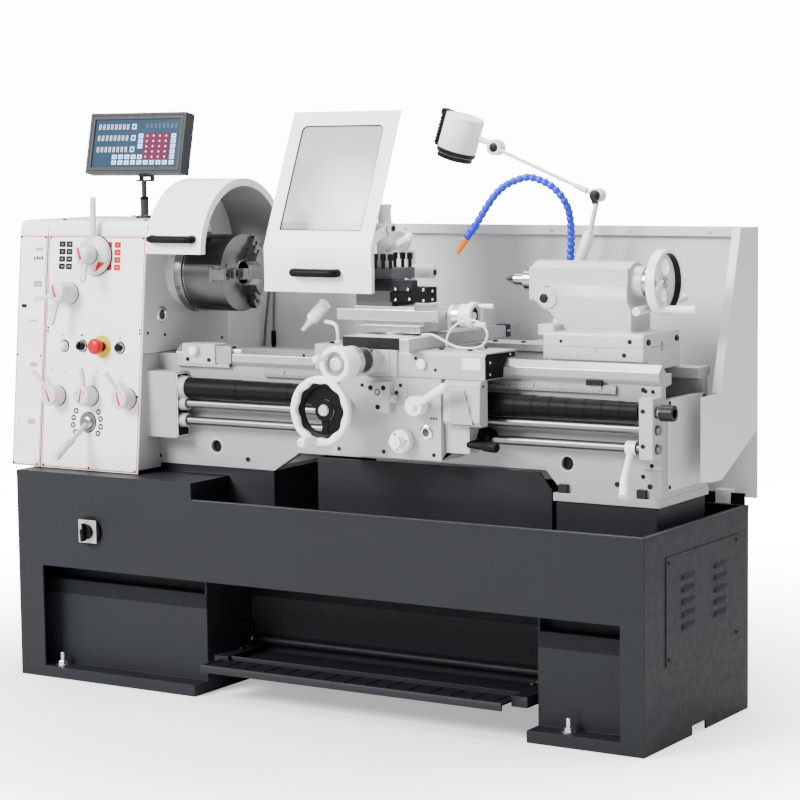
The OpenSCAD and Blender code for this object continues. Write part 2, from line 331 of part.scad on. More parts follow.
base_cabinet();
levelling_bolts();
bed();
gap_bridge();
rack();
headstock_casting();
headstock_cover();
front_panel();
feed_gearbox();
screw_end_bracket();
splash_guard();
dro_mast();
motor();
gear_cover();
spindle();
chuck_body();
chuck_jaw_1();
chuck_jaw_2();
chuck_jaw_3();
chuck_guard();
dro_console();
speed_dial();
speed_lever();
range_dial();
selector_lever_1();
selector_lever_2();
selector_lever_3();
gear_handle();
pump_switch();
jog_button();
emergency_stop();
main_switch();
brake_pedal();
leadscrew();
feed_rod();
control_rod();
screw_cover_left();
screw_cover_right();
saddle();
apron();
apron_handwheel();
half_nut_lever();
feed_knob();
carriage_lever();
cross_slide();
cross_handwheel();
compound_base();
compound_slide();
compound_handwheel();
toolpost();
toolpost_lever();
tool_guard();
tailstock();
quill();
tail_handwheel();
tail_clamp_lever();
lamp_lower_arm();
lamp_upper_arm();
lamp_head();
coolant_hose();
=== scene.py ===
import math, json, random
import bpy, bmesh
from mathutils import Vector, Matrix

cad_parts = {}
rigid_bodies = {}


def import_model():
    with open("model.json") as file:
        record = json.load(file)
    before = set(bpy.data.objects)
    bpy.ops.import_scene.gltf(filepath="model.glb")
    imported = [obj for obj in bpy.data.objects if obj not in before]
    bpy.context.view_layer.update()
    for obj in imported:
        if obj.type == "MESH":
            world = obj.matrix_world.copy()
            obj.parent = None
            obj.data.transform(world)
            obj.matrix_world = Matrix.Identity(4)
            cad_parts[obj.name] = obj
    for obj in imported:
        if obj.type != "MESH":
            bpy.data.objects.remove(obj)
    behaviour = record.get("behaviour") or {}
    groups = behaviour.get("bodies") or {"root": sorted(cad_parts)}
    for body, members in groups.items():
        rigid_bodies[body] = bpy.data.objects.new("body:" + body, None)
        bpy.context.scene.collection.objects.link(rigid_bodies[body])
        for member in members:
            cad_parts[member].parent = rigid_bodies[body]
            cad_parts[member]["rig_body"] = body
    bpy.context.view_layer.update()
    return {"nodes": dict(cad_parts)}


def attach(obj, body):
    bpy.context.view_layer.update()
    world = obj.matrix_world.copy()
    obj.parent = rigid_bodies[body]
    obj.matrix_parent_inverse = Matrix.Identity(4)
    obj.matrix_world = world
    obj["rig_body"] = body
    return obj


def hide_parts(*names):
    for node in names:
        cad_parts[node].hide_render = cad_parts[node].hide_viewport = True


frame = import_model()
OX, OY = 898.0, 230.0            # machine coordinates (mm) to the row frame
AY, AZ = 287.0, 1066.0           # spindle axis
LEAN = math.radians(5.563)
TL = math.tan(LEAN)


def W(p):
    return Vector(((p[0] - OX) / 1000.0, (p[1] - OY) / 1000.0, p[2] / 1000.0))


# ---------------------------------------------------------------- materials
MATS = {}


def _noise(nt, vec, scale, detail=3.0, rough=0.55):
    n = nt.nodes.new("ShaderNodeTexNoise")
    n.inputs["Scale"].default_value = scale
    n.inputs["Detail"].default_value = detail
    n.inputs["Roughness"].default_value = rough
    nt.links.new(vec, n.inputs["Vector"])
    return n.outputs["Fac"]


def _range(nt, fac, a, b, lo=0.3, hi=0.7):
    n = nt.nodes.new("ShaderNodeMapRange")
    n.inputs["From Min"].default_value = lo
    n.inputs["From Max"].default_value = hi
    n.inputs["To Min"].default_value = a
    n.inputs["To Max"].default_value = b
    nt.links.new(fac, n.inputs["Value"])
    return n.outputs["Result"]


def mat(name, col, metal=0.0, rough=0.45, rvar=0.06, cvar=0.05, cscale=5.0, rscale=45.0, bump=0.15, bscale=700.0, bdist=0.00015,
        stretch=(1, 1, 1), fine=0.0, coat=0.0, coat_rough=0.15, spec=0.5, tint=None, aniso=0.0, bump2=0.0, b2scale=60.0, b2dist=0.0006):
    m = bpy.data.materials.new(name)
    m.use_nodes = True
    nt = m.node_tree
    b = nt.nodes["Principled BSDF"]
    b.inputs["Metallic"].default_value = metal
    b.inputs["Specular IOR Level"].default_value = spec
    b.inputs["Coat Weight"].default_value = coat
    b.inputs["Coat Roughness"].default_value = coat_rough
    b.inputs["Anisotropic"].default_value = aniso
    tc = nt.nodes.new("ShaderNodeTexCoord")
    mp = nt.nodes.new("ShaderNodeMapping")
    mp.inputs["Scale"].default_value = stretch
    nt.links.new(tc.outputs["Object"], mp.inputs["Vector"])
    vec = mp.outputs["Vector"]
    obj = tc.outputs["Object"]
    # colour: slow cloudiness, plus a fine speckle
    mix = nt.nodes.new("ShaderNodeMix")
    mix.data_type = "RGBA"
    dark = [c * (1 - cvar) for c in col]
    lite = [min(1.0, c * (1 + cvar)) for c in (tint or col)]
    mix.inputs[6].default_value = (*dark, 1)
    mix.inputs[7].default_value = (*lite, 1)
    f = _noise(nt, obj, cscale, 5.0, 0.6)
    if fine > 0:
        g = _noise(nt, vec, bscale * 0.6, 2.0)
        mm = nt.nodes.new("ShaderNodeMix")
        mm.data_type = "FLOAT"
        mm.inputs[0].default_value = fine
        nt.links.new(f, mm.inputs[2])
        nt.links.new(g, mm.inputs[3])
        f = mm.outputs[0]
    nt.links.new(_range(nt, f, 0.0, 1.0), mix.inputs[0])
    nt.links.new(mix.outputs[2], b.inputs["Base Color"])
    # roughness: smudges
    r = _noise(nt, vec if stretch != (1, 1, 1) else obj, rscale, 4.0, 0.65)
    nt.links.new(_range(nt, r, max(0.02, rough - rvar), min(1.0, rough + rvar)), b.inputs["Roughness"])
    # bump: fine texture, and a slower one for castings
    bp = nt.nodes.new("ShaderNodeBump")
    bp.inputs["Strength"].default_value = bump
    bp.inputs["Distance"].default_value = bdist
    nt.links.new(_noise(nt, vec, bscale, 2.5), bp.inputs["Height"])
    last = bp
    if bump2 > 0:
        b2 = nt.nodes.new("ShaderNodeBump")
        b2.inputs["Strength"].default_value = bump2
        b2.inputs["Distance"].default_value = b2dist
        nt.links.new(_noise(nt, obj, b2scale, 3.0), b2.inputs["Height"])
        nt.links.new(bp.outputs["Normal"], b2.inputs["Normal"])
        last = b2
    nt.links.new(last.outputs["Normal"], b.inputs["Normal"])
    MATS[name] = m
    return m


def lit(name, col, strength):
    m = mat(name, col, rough=0.3, bump=0.05)
    b = m.node_tree.nodes["Principled BSDF"]
    b.inputs["Emission Color"].default_value = (*col, 1)
    b.inputs["Emission Strength"].default_value = strength
    return m


# painted sheet: smooth enamel; painted casting: a little more orange peel and filler waves
mat("enamel", (0.76, 0.763, 0.766), rough=0.38, rvar=0.06, cvar=0.018, bump=0.22, bscale=520, bdist=0.00016, coat=0.25, coat_rough=0.25, bump2=0.10, b2scale=22, b2dist=0.0008)
mat("splash_enamel", (0.6, 0.6, 0.6), rough=0.42, rvar=0.06, cvar=0.015, bump=0.2, bscale=520, bdist=0.00016, coat=0.15, coat_rough=0.3, bump2=0.08, b2scale=20, b2dist=0.0008)
mat("guard_enamel", (0.74, 0.745, 0.75), rough=0.40, rvar=0.06, cvar=0.015, bump=0.2, bscale=520, bdist=0.00016, coat=0.2, coat_rough=0.3)
mat("cast_enamel", (0.47, 0.473, 0.476), rough=0.42, rvar=0.07, cvar=0.025, bump=0.42, bscale=380, bdist=0.00022, coat=0.2, coat_rough=0.3, bump2=0.22, b2scale=48, b2dist=0.0007)
mat("bed_enamel", (0.28, 0.282, 0.284), rough=0.42, rvar=0.07, cvar=0.025, bump=0.42, bscale=380, bdist=0.00022, coat=0.2, coat_rough=0.3, bump2=0.22, b2scale=48, b2dist=0.0007)
mat("apron_enamel", (0.35, 0.352, 0.355), rough=0.42, rvar=0.07, cvar=0.025, bump=0.42, bscale=380, bdist=0.00022, coat=0.2, coat_rough=0.3, bump2=0.22, b2scale=48, b2dist=0.0007)
mat("rim_edge", (0.075, 0.082, 0.092), rough=0.45, rvar=0.05, cvar=0.05, bump=0.2, bscale=500, bdist=0.0001, spec=0.4)
mat("slate", (0.0092, 0.0106, 0.013), rough=0.52, rvar=0.06, cvar=0.05, bump=0.30, bscale=480, bdist=0.00018, coat=0.0, coat_rough=0.3, bump2=0.08, b2scale=14, b2dist=0.0010, spec=0.16)
mat("slate_top", (0.003, 0.004, 0.006), rough=0.55, rvar=0.08, cvar=0.10, bump=0.30, bscale=480, bdist=0.00018, bump2=0.08, b2scale=14, b2dist=0.0010, spec=0.12)
mat("dark_enamel", (0.006, 0.007, 0.009), rough=0.5, rvar=0.08, cvar=0.10, bump=0.4, bscale=420, bdist=0.0002, spec=0.18)
mat("anthracite", (0.022, 0.024, 0.027), rough=0.48, rvar=0.06, cvar=0.06, bump=0.6, bscale=900, bdist=0.00012, spec=0.2)
mat("motor_grey", (0.20, 0.22, 0.24), rough=0.5, rvar=0.08, cvar=0.06, bump=0.5, bscale=400, bdist=0.0003, spec=0.3)
mat("ground_x", (0.55, 0.553, 0.556), metal=1.0, rough=0.30, rvar=0.07, cvar=0.06, cscale=9, rscale=60, bump=0.28, bscale=60, bdist=0.00008, stretch=(0.25, 18, 18), fine=0.35)
mat("ground_y", (0.50, 0.505, 0.51), metal=1.0, rough=0.34, rvar=0.08, cvar=0.07, cscale=9, rscale=60, bump=0.28, bscale=60, bdist=0.00008, stretch=(18, 0.25, 18), fine=0.35)
mat("turned", (0.33, 0.332, 0.335), metal=1.0, rough=0.26, rvar=0.06, cvar=0.05, cscale=12, rscale=80, bump=0.25, bscale=90, bdist=0.00006, stretch=(16, 0.6, 0.6), fine=0.3)
mat("chuck_steel", (0.40, 0.405, 0.41), metal=1.0, rough=0.33, rvar=0.07, cvar=0.08, cscale=14, rscale=70, bump=0.3, bscale=90, bdist=0.00008, stretch=(14, 0.8, 0.8), fine=0.35)
mat("jaw_steel", (0.2, 0.2, 0.198), metal=1.0, rough=0.28, rvar=0.08, cvar=0.06, cscale=20, rscale=90, bump=0.25, bscale=120, bdist=0.00006, stretch=(6, 1, 1), fine=0.3)
mat("zinc", (0.66, 0.67, 0.68), metal=1.0, rough=0.30, rvar=0.08, cvar=0.08, cscale=40, rscale=160, bump=0.15, bscale=900, bdist=0.00006)
mat("chrome", (0.80, 0.80, 0.80), metal=1.0, rough=0.10, rvar=0.04, cvar=0.03, cscale=25, rscale=120, bump=0.04, bscale=300, bdist=0.00005)
mat("cast_iron", (0.30, 0.305, 0.31), metal=0.85, rough=0.42, rvar=0.08, cvar=0.09, cscale=18, rscale=70, bump=0.35, bscale=420, bdist=0.00012)
mat("scraped", (0.42, 0.425, 0.43), metal=0.9, rough=0.36, rvar=0.12, cvar=0.10, cscale=60, rscale=110, bump=0.3, bscale=200, bdist=0.0001)
mat("blackened", (0.009, 0.009, 0.01), metal=0.0, rough=0.38, rvar=0.08, cvar=0.15, cscale=30, rscale=90, bump=0.2, bscale=700, bdist=0.00008, spec=0.18)
mat("black_plastic", (0.003, 0.003, 0.0034), rough=0.46, rvar=0.06, cvar=0.12, bump=0.35, bscale=1100, bdist=0.0001, spec=0.08)
mat("rubber", (0.004, 0.004, 0.0045), rough=0.68, rvar=0.08, cvar=0.15, bump=0.5, bscale=900, bdist=0.00014, spec=0.08)
mat("white_plastic", (0.72, 0.725, 0.73), rough=0.35, rvar=0.05, cvar=0.02, bump=0.15, bscale=900, bdist=0.0001)
mat("silver", (0.60, 0.61, 0.62), metal=0.9, rough=0.32, rvar=0.06, cvar=0.05, cscale=30, rscale=120, bump=0.2, bscale=600, bdist=0.00007)
mat("red", (0.36, 0.0, 0.003), rough=0.32, rvar=0.06, cvar=0.06, bump=0.12, bscale=900, bdist=0.0001, spec=0.2)
mat("print_red", (0.42, 0.0, 0.0), rough=0.45, cvar=0.06, bump=0.1, bscale=900, spec=0.08)
mat("yellow", (0.56, 0.4, 0.0), rough=0.38, cvar=0.05, bump=0.12, bscale=900)
mat("blue_hose", (0.004, 0.02, 0.66), rough=0.33, rvar=0.06, cvar=0.10, cscale=40, bump=0.15, bscale=800, bdist=0.0001)
mat("orange", (0.95, 0.22, 0.0), rough=0.33, rvar=0.06, cvar=0.06, cscale=40, bump=0.15, bscale=800, bdist=0.0001)
mat("print_dark", (0.006, 0.006, 0.007), rough=0.5, cvar=0.1, bump=0.1, bscale=900, spec=0.1)
mat("print_grey", (0.30, 0.31, 0.32), rough=0.5, cvar=0.06, bump=0.1, bscale=900)
mat("print_white", (0.80, 0.80, 0.80), rough=0.4, cvar=0.02, bump=0.1, bscale=900)
mat("plate_grey", (0.33, 0.335, 0.34), metal=0.3, rough=0.4, cvar=0.03, bump=0.15, bscale=700)
mat("plate_blue", (0.20, 0.27, 0.36), rough=0.4, cvar=0.05, bump=0.15, bscale=700)
mat("dro_face", (0.0055, 0.024, 0.050), rough=0.42, rvar=0.05, cvar=0.04, bump=0.2, bscale=900, spec=0.12)
mat("key_maroon", (0.085, 0.004, 0.028), rough=0.45, cvar=0.06, bump=0.2, bscale=900, spec=0.12)
mat("key_pale", (0.36, 0.56, 0.75), rough=0.45, cvar=0.04, bump=0.2, bscale=900)
mat("pane_dark", (0.012, 0.014, 0.018), rough=0.12, rvar=0.03, cvar=0.1, bump=0.02, coat=0.5, coat_rough=0.05)
lit("digit", (0.55, 0.60, 0.64), 0.10)
lit("digit_dim", (0.06, 0.075, 0.09), 0.01)
mat("chuck_dark", (0.062, 0.063, 0.064), metal=0.9, rough=0.34, rvar=0.04, cvar=0.03, cscale=6, rscale=30, bump=0.2, bscale=900, bdist=0.00004)
mat("guard_inside", (0.3, 0.302, 0.305), rough=0.5, rvar=0.05, cvar=0.03, bump=0.2, bscale=500, spec=0.3)
mat("lamp_white", (0.9, 0.905, 0.91), rough=0.34, rvar=0.05, cvar=0.015, bump=0.15, bscale=700, coat=0.2)
mat("smooth_steel", (0.17, 0.171, 0.173), metal=1.0, rough=0.36, rvar=0.04, cvar=0.02, cscale=6, rscale=30, bump=0.2, bscale=900, bdist=0.00004)
mat("bright_steel", (0.22, 0.221, 0.222), metal=1.0, rough=0.32, rvar=0.04, cvar=0.02, cscale=6, rscale=30, bump=0.15, bscale=900, bdist=0.00004)
mat("toolpost_grey", (0.09, 0.092, 0.095), metal=0.5, rough=0.42, rvar=0.05, cvar=0.05, cscale=20, rscale=60, bump=0.2, bscale=500, bdist=0.00006)
lit("diffuser", (0.90, 0.91, 0.90), 0.15)
mat("fabric_cable", (0.10, 0.10, 0.105), rough=0.6, cvar=0.1, bump=0.4, bscale=900)
mat("cable_grey", (0.45, 0.46, 0.47), rough=0.5, cvar=0.06, bump=0.3, bscale=900)
mat("brass", (0.75, 0.55, 0.22), metal=1.0, rough=0.3, cvar=0.06, bump=0.1)


def glass(name, col=(0.93, 0.96, 0.97), rough=0.03, alpha=0.22):
    m = bpy.data.materials.new(name)
    m.use_nodes = True
    nt = m.node_tree
    b = nt.nodes["Principled BSDF"]
    b.inputs["Base Color"].default_value = (*col, 1)
    b.inputs["IOR"].default_value = 1.45
    b.inputs["Alpha"].default_value = alpha
    b.inputs["Specular IOR Level"].default_value = 0.7
    tc = nt.nodes.new("ShaderNodeTexCoord")
    r = _noise(nt, tc.outputs["Object"], 14.0, 4.0)
    nt.links.new(_range(nt, r, rough, rough + 0.09), b.inputs["Roughness"])
    MATS[name] = m
    return m


glass("clear_pane", (0.235, 0.24, 0.245), 0.05, 0.80)
glass("sight", (0.012, 0.012, 0.012), 0.05, 1.0)

# ---------------------------------------------------------------- mesh helpers
COUNT = {}


def _uname(name):
    COUNT[name] = COUNT.get(name, 0) + 1
    return name if COUNT[name] == 1 else "%s_%d" % (name, COUNT[name])


class B:
    """Collects shapes in machine millimetres and turns them into one object with one or several materials."""

    def __init__(self):
        self.v, self.f, self.m, self.s = [], [], [], []
        self.slots = []
        self.T = None            # optional placement: local mm -> machine mm

    def mi(self, name):
        if name not in self.slots:
            self.slots.append(name)
        return self.slots.index(name)

    def add(self, verts, faces, material, smooth=True):
        k = len(self.v)
        if self.T is not None:
            verts = [self.T @ Vector(p) for p in verts]
        self.v += [tuple(p) for p in verts]
        i = self.mi(material)
        for f in faces:
            self.f.append([k + a for a in f])
            self.m.append(i)
            self.s.append(smooth)
        return self

    # --- shapes
    def box(self, a, b, material):
        x0, y0, z0 = [min(a[i], b[i]) for i in range(3)]
        x1, y1, z1 = [max(a[i], b[i]) for i in range(3)]
        v = [(x0, y0, z0), (x1, y0, z0), (x1, y1, z0), (x0, y1, z0), (x0, y0, z1), (x1, y0, z1), (x1, y1, z1), (x0, y1, z1)]
        return self.add(v, [[3, 2, 1, 0], [4, 5, 6, 7], [0, 1, 5, 4], [1, 2, 6, 5], [2, 3, 7, 6], [3, 0, 4, 7]], material)

    def rev(self, o, d, prof, material, n=40, ref=None, closed=True):
        """prof: (s, r) along direction d from o. Ends close themselves where r is 0, else with a cap."""
        d = Vector(d).normalized()
        u = Vector(ref).normalized() if ref is not None else (Vector((0, 0, 1)) if abs(d.z) < 0.9 else Vector((1, 0, 0)))
        u = (u - d * u.dot(d)).normalized()
        w = d.cross(u)
        o = Vector(o)
        vs, rings = [], []
        for s, r in prof:
            if r <= 1e-6:
                rings.append([len(vs)])
                vs.append(o + d * s)
            else:
                rings.append(list(range(len(vs), len(vs) + n)))
                for k in range(n):
                    t = 2 * math.pi * k / n
                    vs.append(o + d * s + (u * math.cos(t) + w * math.sin(t)) * r)
        fs = []
        for a, b in zip(rings, rings[1:]):
            if len(a) == 1 and len(b) == 1:
                continue
            for k in range(n):
                k2 = (k + 1) % n
                if len(a) == 1:
                    fs.append([a[0], b[k2], b[k]])
                elif len(b) == 1:
                    fs.append([a[k], a[k2], b[0]])
                else:
                    fs.append([a[k], a[k2], b[k2], b[k]])
        if closed:
            if len(rings[0]) > 1:
                fs.append(list(reversed(rings[0])))
            if len(rings[-1]) > 1:
                fs.append(rings[-1][:])
        else:
            # a closed ring profile: join the last ring to the first
            a, b = rings[-1], rings[0]
            for k in range(n):
                fs.append([a[k], a[(k + 1) % n], b[(k + 1) % n], b[k]])
        return self.add(vs, fs, material)

    def cyl(self, p, q, r, material, r2=None, n=32, c=0.6):
        """Cylinder or cone between two points with small chamfers."""
        p, q = Vector(p), Vector(q)
        h = (q - p).length
        r2 = r if r2 is None else r2
        c = min(c, h * 0.25, r * 0.4, r2 * 0.4)
        return self.rev(p, q - p, [(0, r - c), (c, r), (h - c, r2), (h, r2 - c)], material, n)

    def ring(self, o, d, s0, s1, ri, ro, material, n=64, c=0.8):
        c = min(c, (ro - ri) * 0.3, abs(s1 - s0) * 0.3)
        return self.rev(o, d, [(s0, ri + c), (s0, ro - c), (s0 + c, ro), (s1 - c, ro), (s1, ro - c), (s1, ri + c), (s1 - c, ri), (s0 + c, ri)], material, n, closed=False)

    def torus(self, o, d, R, r, material, n=64, m=16, scale=1.0):
        prof = [(r * scale * math.sin(2 * math.pi * k / m), R + r * math.cos(2 * math.pi * k / m)) for k in range(m)]
        return self.rev(o, d, prof, material, n, closed=False)

    def ball(self, o, r, material, d=(0, 0, 1), n=28, m=14, flat=1.0):
        prof = [(-r * flat * math.cos(math.pi * k / m), r * math.sin(math.pi * k / m)) for k in range(m + 1)]
        prof[0] = (-r * flat, 0)
        prof[-1] = (r * flat, 0)
        return self.rev(o, d, prof, material, n)

    def prism(self, axis, a0, a1, pts, material):
        """pts in the two other axes: x -> (Y, Z), y -> (X, Z), z -> (X, Y)."""
        area = sum(pts[i][0] * pts[(i + 1) % len(pts)][1] - pts[(i + 1) % len(pts)][0] * pts[i][1] for i in range(len(pts)))
        if area < 0:
            pts = list(reversed(pts))
        n = len(pts)
        mk = {"x": lambda t, p: (t, p[0], p[1]), "y": lambda t, p: (p[0], t, p[1]), "z": lambda t, p: (p[0], p[1], t)}[axis]
        vs = [mk(a0, p) for p in pts] + [mk(a1, p) for p in pts]
        fs = [list(reversed(range(n))), list(range(n, 2 * n))] + [[i, (i + 1) % n, n + (i + 1) % n, n + i] for i in range(n)]
        if (axis == "y") != (a1 < a0):
            fs = [list(reversed(f)) for f in fs]
        return self.add(vs, fs, material)

    def sweep(self, pts, r, material, n=14, step=6.0, cap=True, rfun=None):
        """Round tube along a smooth line through pts; rfun(t) scales the radius, t from 0 to 1."""
        line = smooth_line(pts, step)
        vs, fs = [], []
        u = None
        N = len(line)
        for i, p in enumerate(line):
            a = line[max(i - 1, 0)]
            b = line[min(i + 1, N - 1)]
            w = (b - a).normalized()
            if u is None:
                u = w.orthogonal().normalized()
            u = (u - w * u.dot(w)).normalized()
            v = w.cross(u)
            rr = r * (rfun(i / (N - 1)) if rfun else 1.0)
            for k in range(n):
                t = 2 * math.pi * k / n
                vs.append(p + (u * math.cos(t) + v * math.sin(t)) * rr)
        for i in range(N - 1):
            for k in range(n):
                fs.append([i * n + k, i * n + (k + 1) % n, (i + 1) * n + (k + 1) % n, (i + 1) * n + k])
        if cap:
            fs.append(list(reversed(range(n))))
            fs.append([(N - 1) * n + k for k in range(n)])
        return self.add(vs, fs, material)

    def hexhead(self, o, d, af, h, material, ref=None):
        """Hexagon head, chamfered, across flats af."""
        d = Vector(d).normalized()
        R = af / math.sqrt(3)
        self.rev(o, d, [(0, R * 0.985), (0.01, R), (h * 0.8, R), (h, R * 0.88)], material, 6, ref)
        return self

    def socket(self, o, d, r, h, material="blackened", n=28):
        """Socket cap screw: knurled-looking head with a real hexagon recess."""
        d = Vector(d).normalized()
        rs = r * 0.52
        self.rev(o, d, [(0, r * 0.97), (0.02, r), (h * 0.86, r), (h, r * 0.9), (h, rs)], material, n, closed=True) if False else None
        u = d.orthogonal().normalized()
        w = d.cross(u)
        o = Vector(o)
        vs, fs = [], []
        rings = [(0, r), (h * 0.86, r), (h, r * 0.9)]
        for s, rr in rings:
            for k in range(24):
                t = 2 * math.pi * k / 24
                vs.append(o + d * s + (u * math.cos(t) + w * math.sin(t)) * rr)
        for s in (h, h * 0.35):
            for k in range(24):
                t = 2 * math.pi * k / 24
                tt = ((t + math.pi / 6) % (math.pi / 3)) - math.pi / 6
                rr = rs * math.cos(math.pi / 6) / math.cos(tt)
                vs.append(o + d * s + (u * math.cos(t) + w * math.sin(t)) * rr)
        for i in range(4):
            for k in range(24):
                fs.append([i * 24 + k, i * 24 + (k + 1) % 24, (i + 1) * 24 + (k + 1) % 24, (i + 1) * 24 + k])
        fs.append(list(reversed(range(24))))
        fs.append([96 + k for k in range(24)])
        return self.add(vs, fs, material)

    def pan(self, o, d, r, material="zinc", h=None):
        """Pan head screw with a cross recess made of two shallow bars sunk in the head."""
        h = h or r * 0.7
        self.rev(o, d, [(0, r), (h * 0.35, r * 0.98), (h * 0.75, r * 0.75), (h, r * 0.35), (h * 0.72, r * 0.30), (h * 0.70, 0)], material, 20)
        return self

    def obj(self, name, body, bevel=0.0, seg=2, angle=35.0, merge=True, sharp=35.0, subsurf=0):
        me = bpy.data.meshes.new(name)
        me.from_pydata([tuple(W(p)) for p in self.v], [], self.f)
        for s in self.slots:
            me.materials.append(MATS[s])
        me.polygons.foreach_set("material_index", self.m)
        me.polygons.foreach_set("use_smooth", [True] * len(self.f))
        me.update()
        bm = bmesh.new()
        bm.from_mesh(me)
        bmesh.ops.recalc_face_normals(bm, faces=bm.faces)
        bm.to_mesh(me)
        bm.free()
        me.set_sharp_from_angle(angle=math.radians(sharp))
        o = bpy.data.objects.new(_uname(name), me)
        bpy.context.scene.collection.objects.link(o)
        if bevel > 0:
            bv = o.modifiers.new("edge", "BEVEL")
            bv.width = bevel / 1000.0
            bv.segments = seg
            bv.limit_method = "ANGLE"
            bv.angle_limit = math.radians(angle)
            bv.harden_normals = True
            bv.use_clamp_overlap = False
        if body:
            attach(o, body)
        return o


def smooth_line(pts, step=6.0):
    """Catmull-Rom line through the points, resampled evenly."""
    P = [Vector(p) for p in pts]
    if len(P) == 2:
        n = max(2, int((P[1] - P[0]).length / step))
        return [P[0].lerp(P[1], i / n) for i in range(n + 1)]
    raw = []
    for i in range(len(P) - 1):
        p0 = P[i - 1] if i > 0 else P[i] * 2 - P[i + 1]
        p1, p2 = P[i], P[i + 1]
        p3 = P[i + 2] if i + 2 < len(P) else P[i + 1] * 2 - P[i]
        for k in range(16):
            t = k / 16.0
            raw.append(0.5 * ((2 * p1) + (p2 - p0) * t + (2 * p0 - 5 * p1 + 4 * p2 - p3) * t * t + (3 * p1 - p0 - 3 * p2 + p3) * t ** 3))
    raw.append(P[-1])
    L = [0.0]
    for a, b in zip(raw, raw[1:]):
        L.append(L[-1] + (b - a).length)
    n = max(2, int(round(L[-1] / step)))
    out, j = [], 0
    for i in range(n + 1):
        s = L[-1] * i / n
        while j < len(L) - 2 and L[j + 1] < s:
            j += 1
        d = L[j + 1] - L[j]
        out.append(raw[j].lerp(raw[j + 1], 0 if d < 1e-9 else (s - L[j]) / d))
    return out


def place(o, x, y, z):
    """Local axes for a shape: o is the origin in machine mm, x y z the local axes."""
    x, y, z = Vector(x).normalized(), Vector(y).normalized(), Vector(z).normalized()
    m = Matrix.Identity(4)
    for i, a in enumerate((x, y, z)):
        for k in range(3):
            m[k][i] = a[k]
    m[0][3], m[1][3], m[2][3] = o
    return m


def panel(x, z):
    """Local frame on the leaning front panel: x right, y up the panel, z towards the operator."""
    n = Vector((0, -math.cos(LEAN), math.sin(LEAN)))
    up = Vector((0, math.sin(LEAN), math.cos(LEAN)))
    return place((x, 60 + (z - 552) * TL, z), (1, 0, 0), up, n)


def hf(z, d=0.0):
    return 60 + (z - 552) * TL + d


def adopt(node, material, bevel=0.8, name=None, pick=None, mats=(), seg=2, angle=32.0, drop=None, body=None, sharp=35.0, keep_out=None):
    """A clean copy of a CAD solid's mesh, with n-gons, bevelled edges and its own materials, that stands for the node."""
    src = frame["nodes"][node]
    bm = bmesh.new()
    bm.from_mesh(src.data)
    bmesh.ops.remove_doubles(bm, verts=bm.verts, dist=2e-6)
    if drop:
        dead = []
        for isl in islands(bm):
            c = sum((v.co for v in isl), Vector()) / len(isl)
            lo = Vector([min(v.co[i] for v in isl) for i in range(3)])
            hi = Vector([max(v.co[i] for v in isl) for i in range(3)])
            if drop(mm(c), mm(lo), mm(hi)):
                dead += isl
        bmesh.ops.delete(bm, geom=dead, context="VERTS")
    bmesh.ops.dissolve_limit(bm, angle_limit=math.radians(0.6), verts=bm.verts, edges=bm.edges, use_dissolve_boundaries=False)
    bmesh.ops.recalc_face_normals(bm, faces=bm.faces)
    me = bpy.data.meshes.new(name or node)
    bm.to_mesh(me)
    bm.free()
    me.materials.clear()
    me.materials.append(MATS[material])
    for m in mats:
        me.materials.append(MATS[m])
    if pick:
        for p in me.polygons:
            c = mm(p.center)
            p.material_index = pick(c, p.normal, p.area * 1e6)
    for p in me.polygons:
        p.use_smooth = True
    me.set_sharp_from_angle(angle=math.radians(sharp))
    o = bpy.data.objects.new(_uname(name or (node + "_finish")), me)
    bpy.context.scene.collection.objects.link(o)
    if bevel > 0:
        bv = o.modifiers.new("edge", "BEVEL")
        bv.width = bevel / 1000.0
        bv.segments = seg
        bv.limit_method = "ANGLE"
        bv.angle_limit = math.radians(angle)
        bv.harden_normals = True
        bv.use_clamp_overlap = False
    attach(o, body or src["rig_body"])
    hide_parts(node)
    return o


def mm(v):
    return Vector((v[0] * 1000 + OX, v[1] * 1000 + OY, v[2] * 1000))


def islands(bm):
    seen, out = set(), []
    for v in bm.verts:
        if v in seen:
            continue
        st, isl = [v], []
        seen.add(v)
        while st:
            a = st.pop()
            isl.append(a)
            for e in a.link_edges:
                b = e.other_vert(a)
                if b not in seen:
                    seen.add(b)
                    st.append(b)
        out.append(isl)
    return out


def cut(o, cutter, op="DIFFERENCE"):
    """Exact boolean with a helper object, applied at once."""
    md = o.modifiers.new("cut", "BOOLEAN")
    md.operation = op
    md.solver = "EXACT"
    md.object = cutter
    # before any bevel
    while o.modifiers[0] != md and o.modifiers.find("cut") > 0:
        o.modifiers.move(o.modifiers.find("cut"), o.modifiers.find("cut") - 1)
    dg = bpy.context.evaluated_depsgraph_get()
    others = [(m, m.show_viewport) for m in o.modifiers if m != md]
    for m, _ in others:
        m.show_viewport = False
    bpy.context.view_layer.update()
    dg = bpy.context.evaluated_depsgraph_get()
    me = bpy.data.meshes.new_from_object(o.evaluated_get(dg))
    old = o.data
    o.modifiers.remove(md)
    for m, s in others:
        m.show_viewport = True
    o.data = me
    bpy.data.meshes.remove(old)
    bpy.data.objects.remove(cutter)
    for p in me.polygons:
        p.use_smooth = True
    me.set_sharp_from_angle(angle=math.radians(35))
    return o


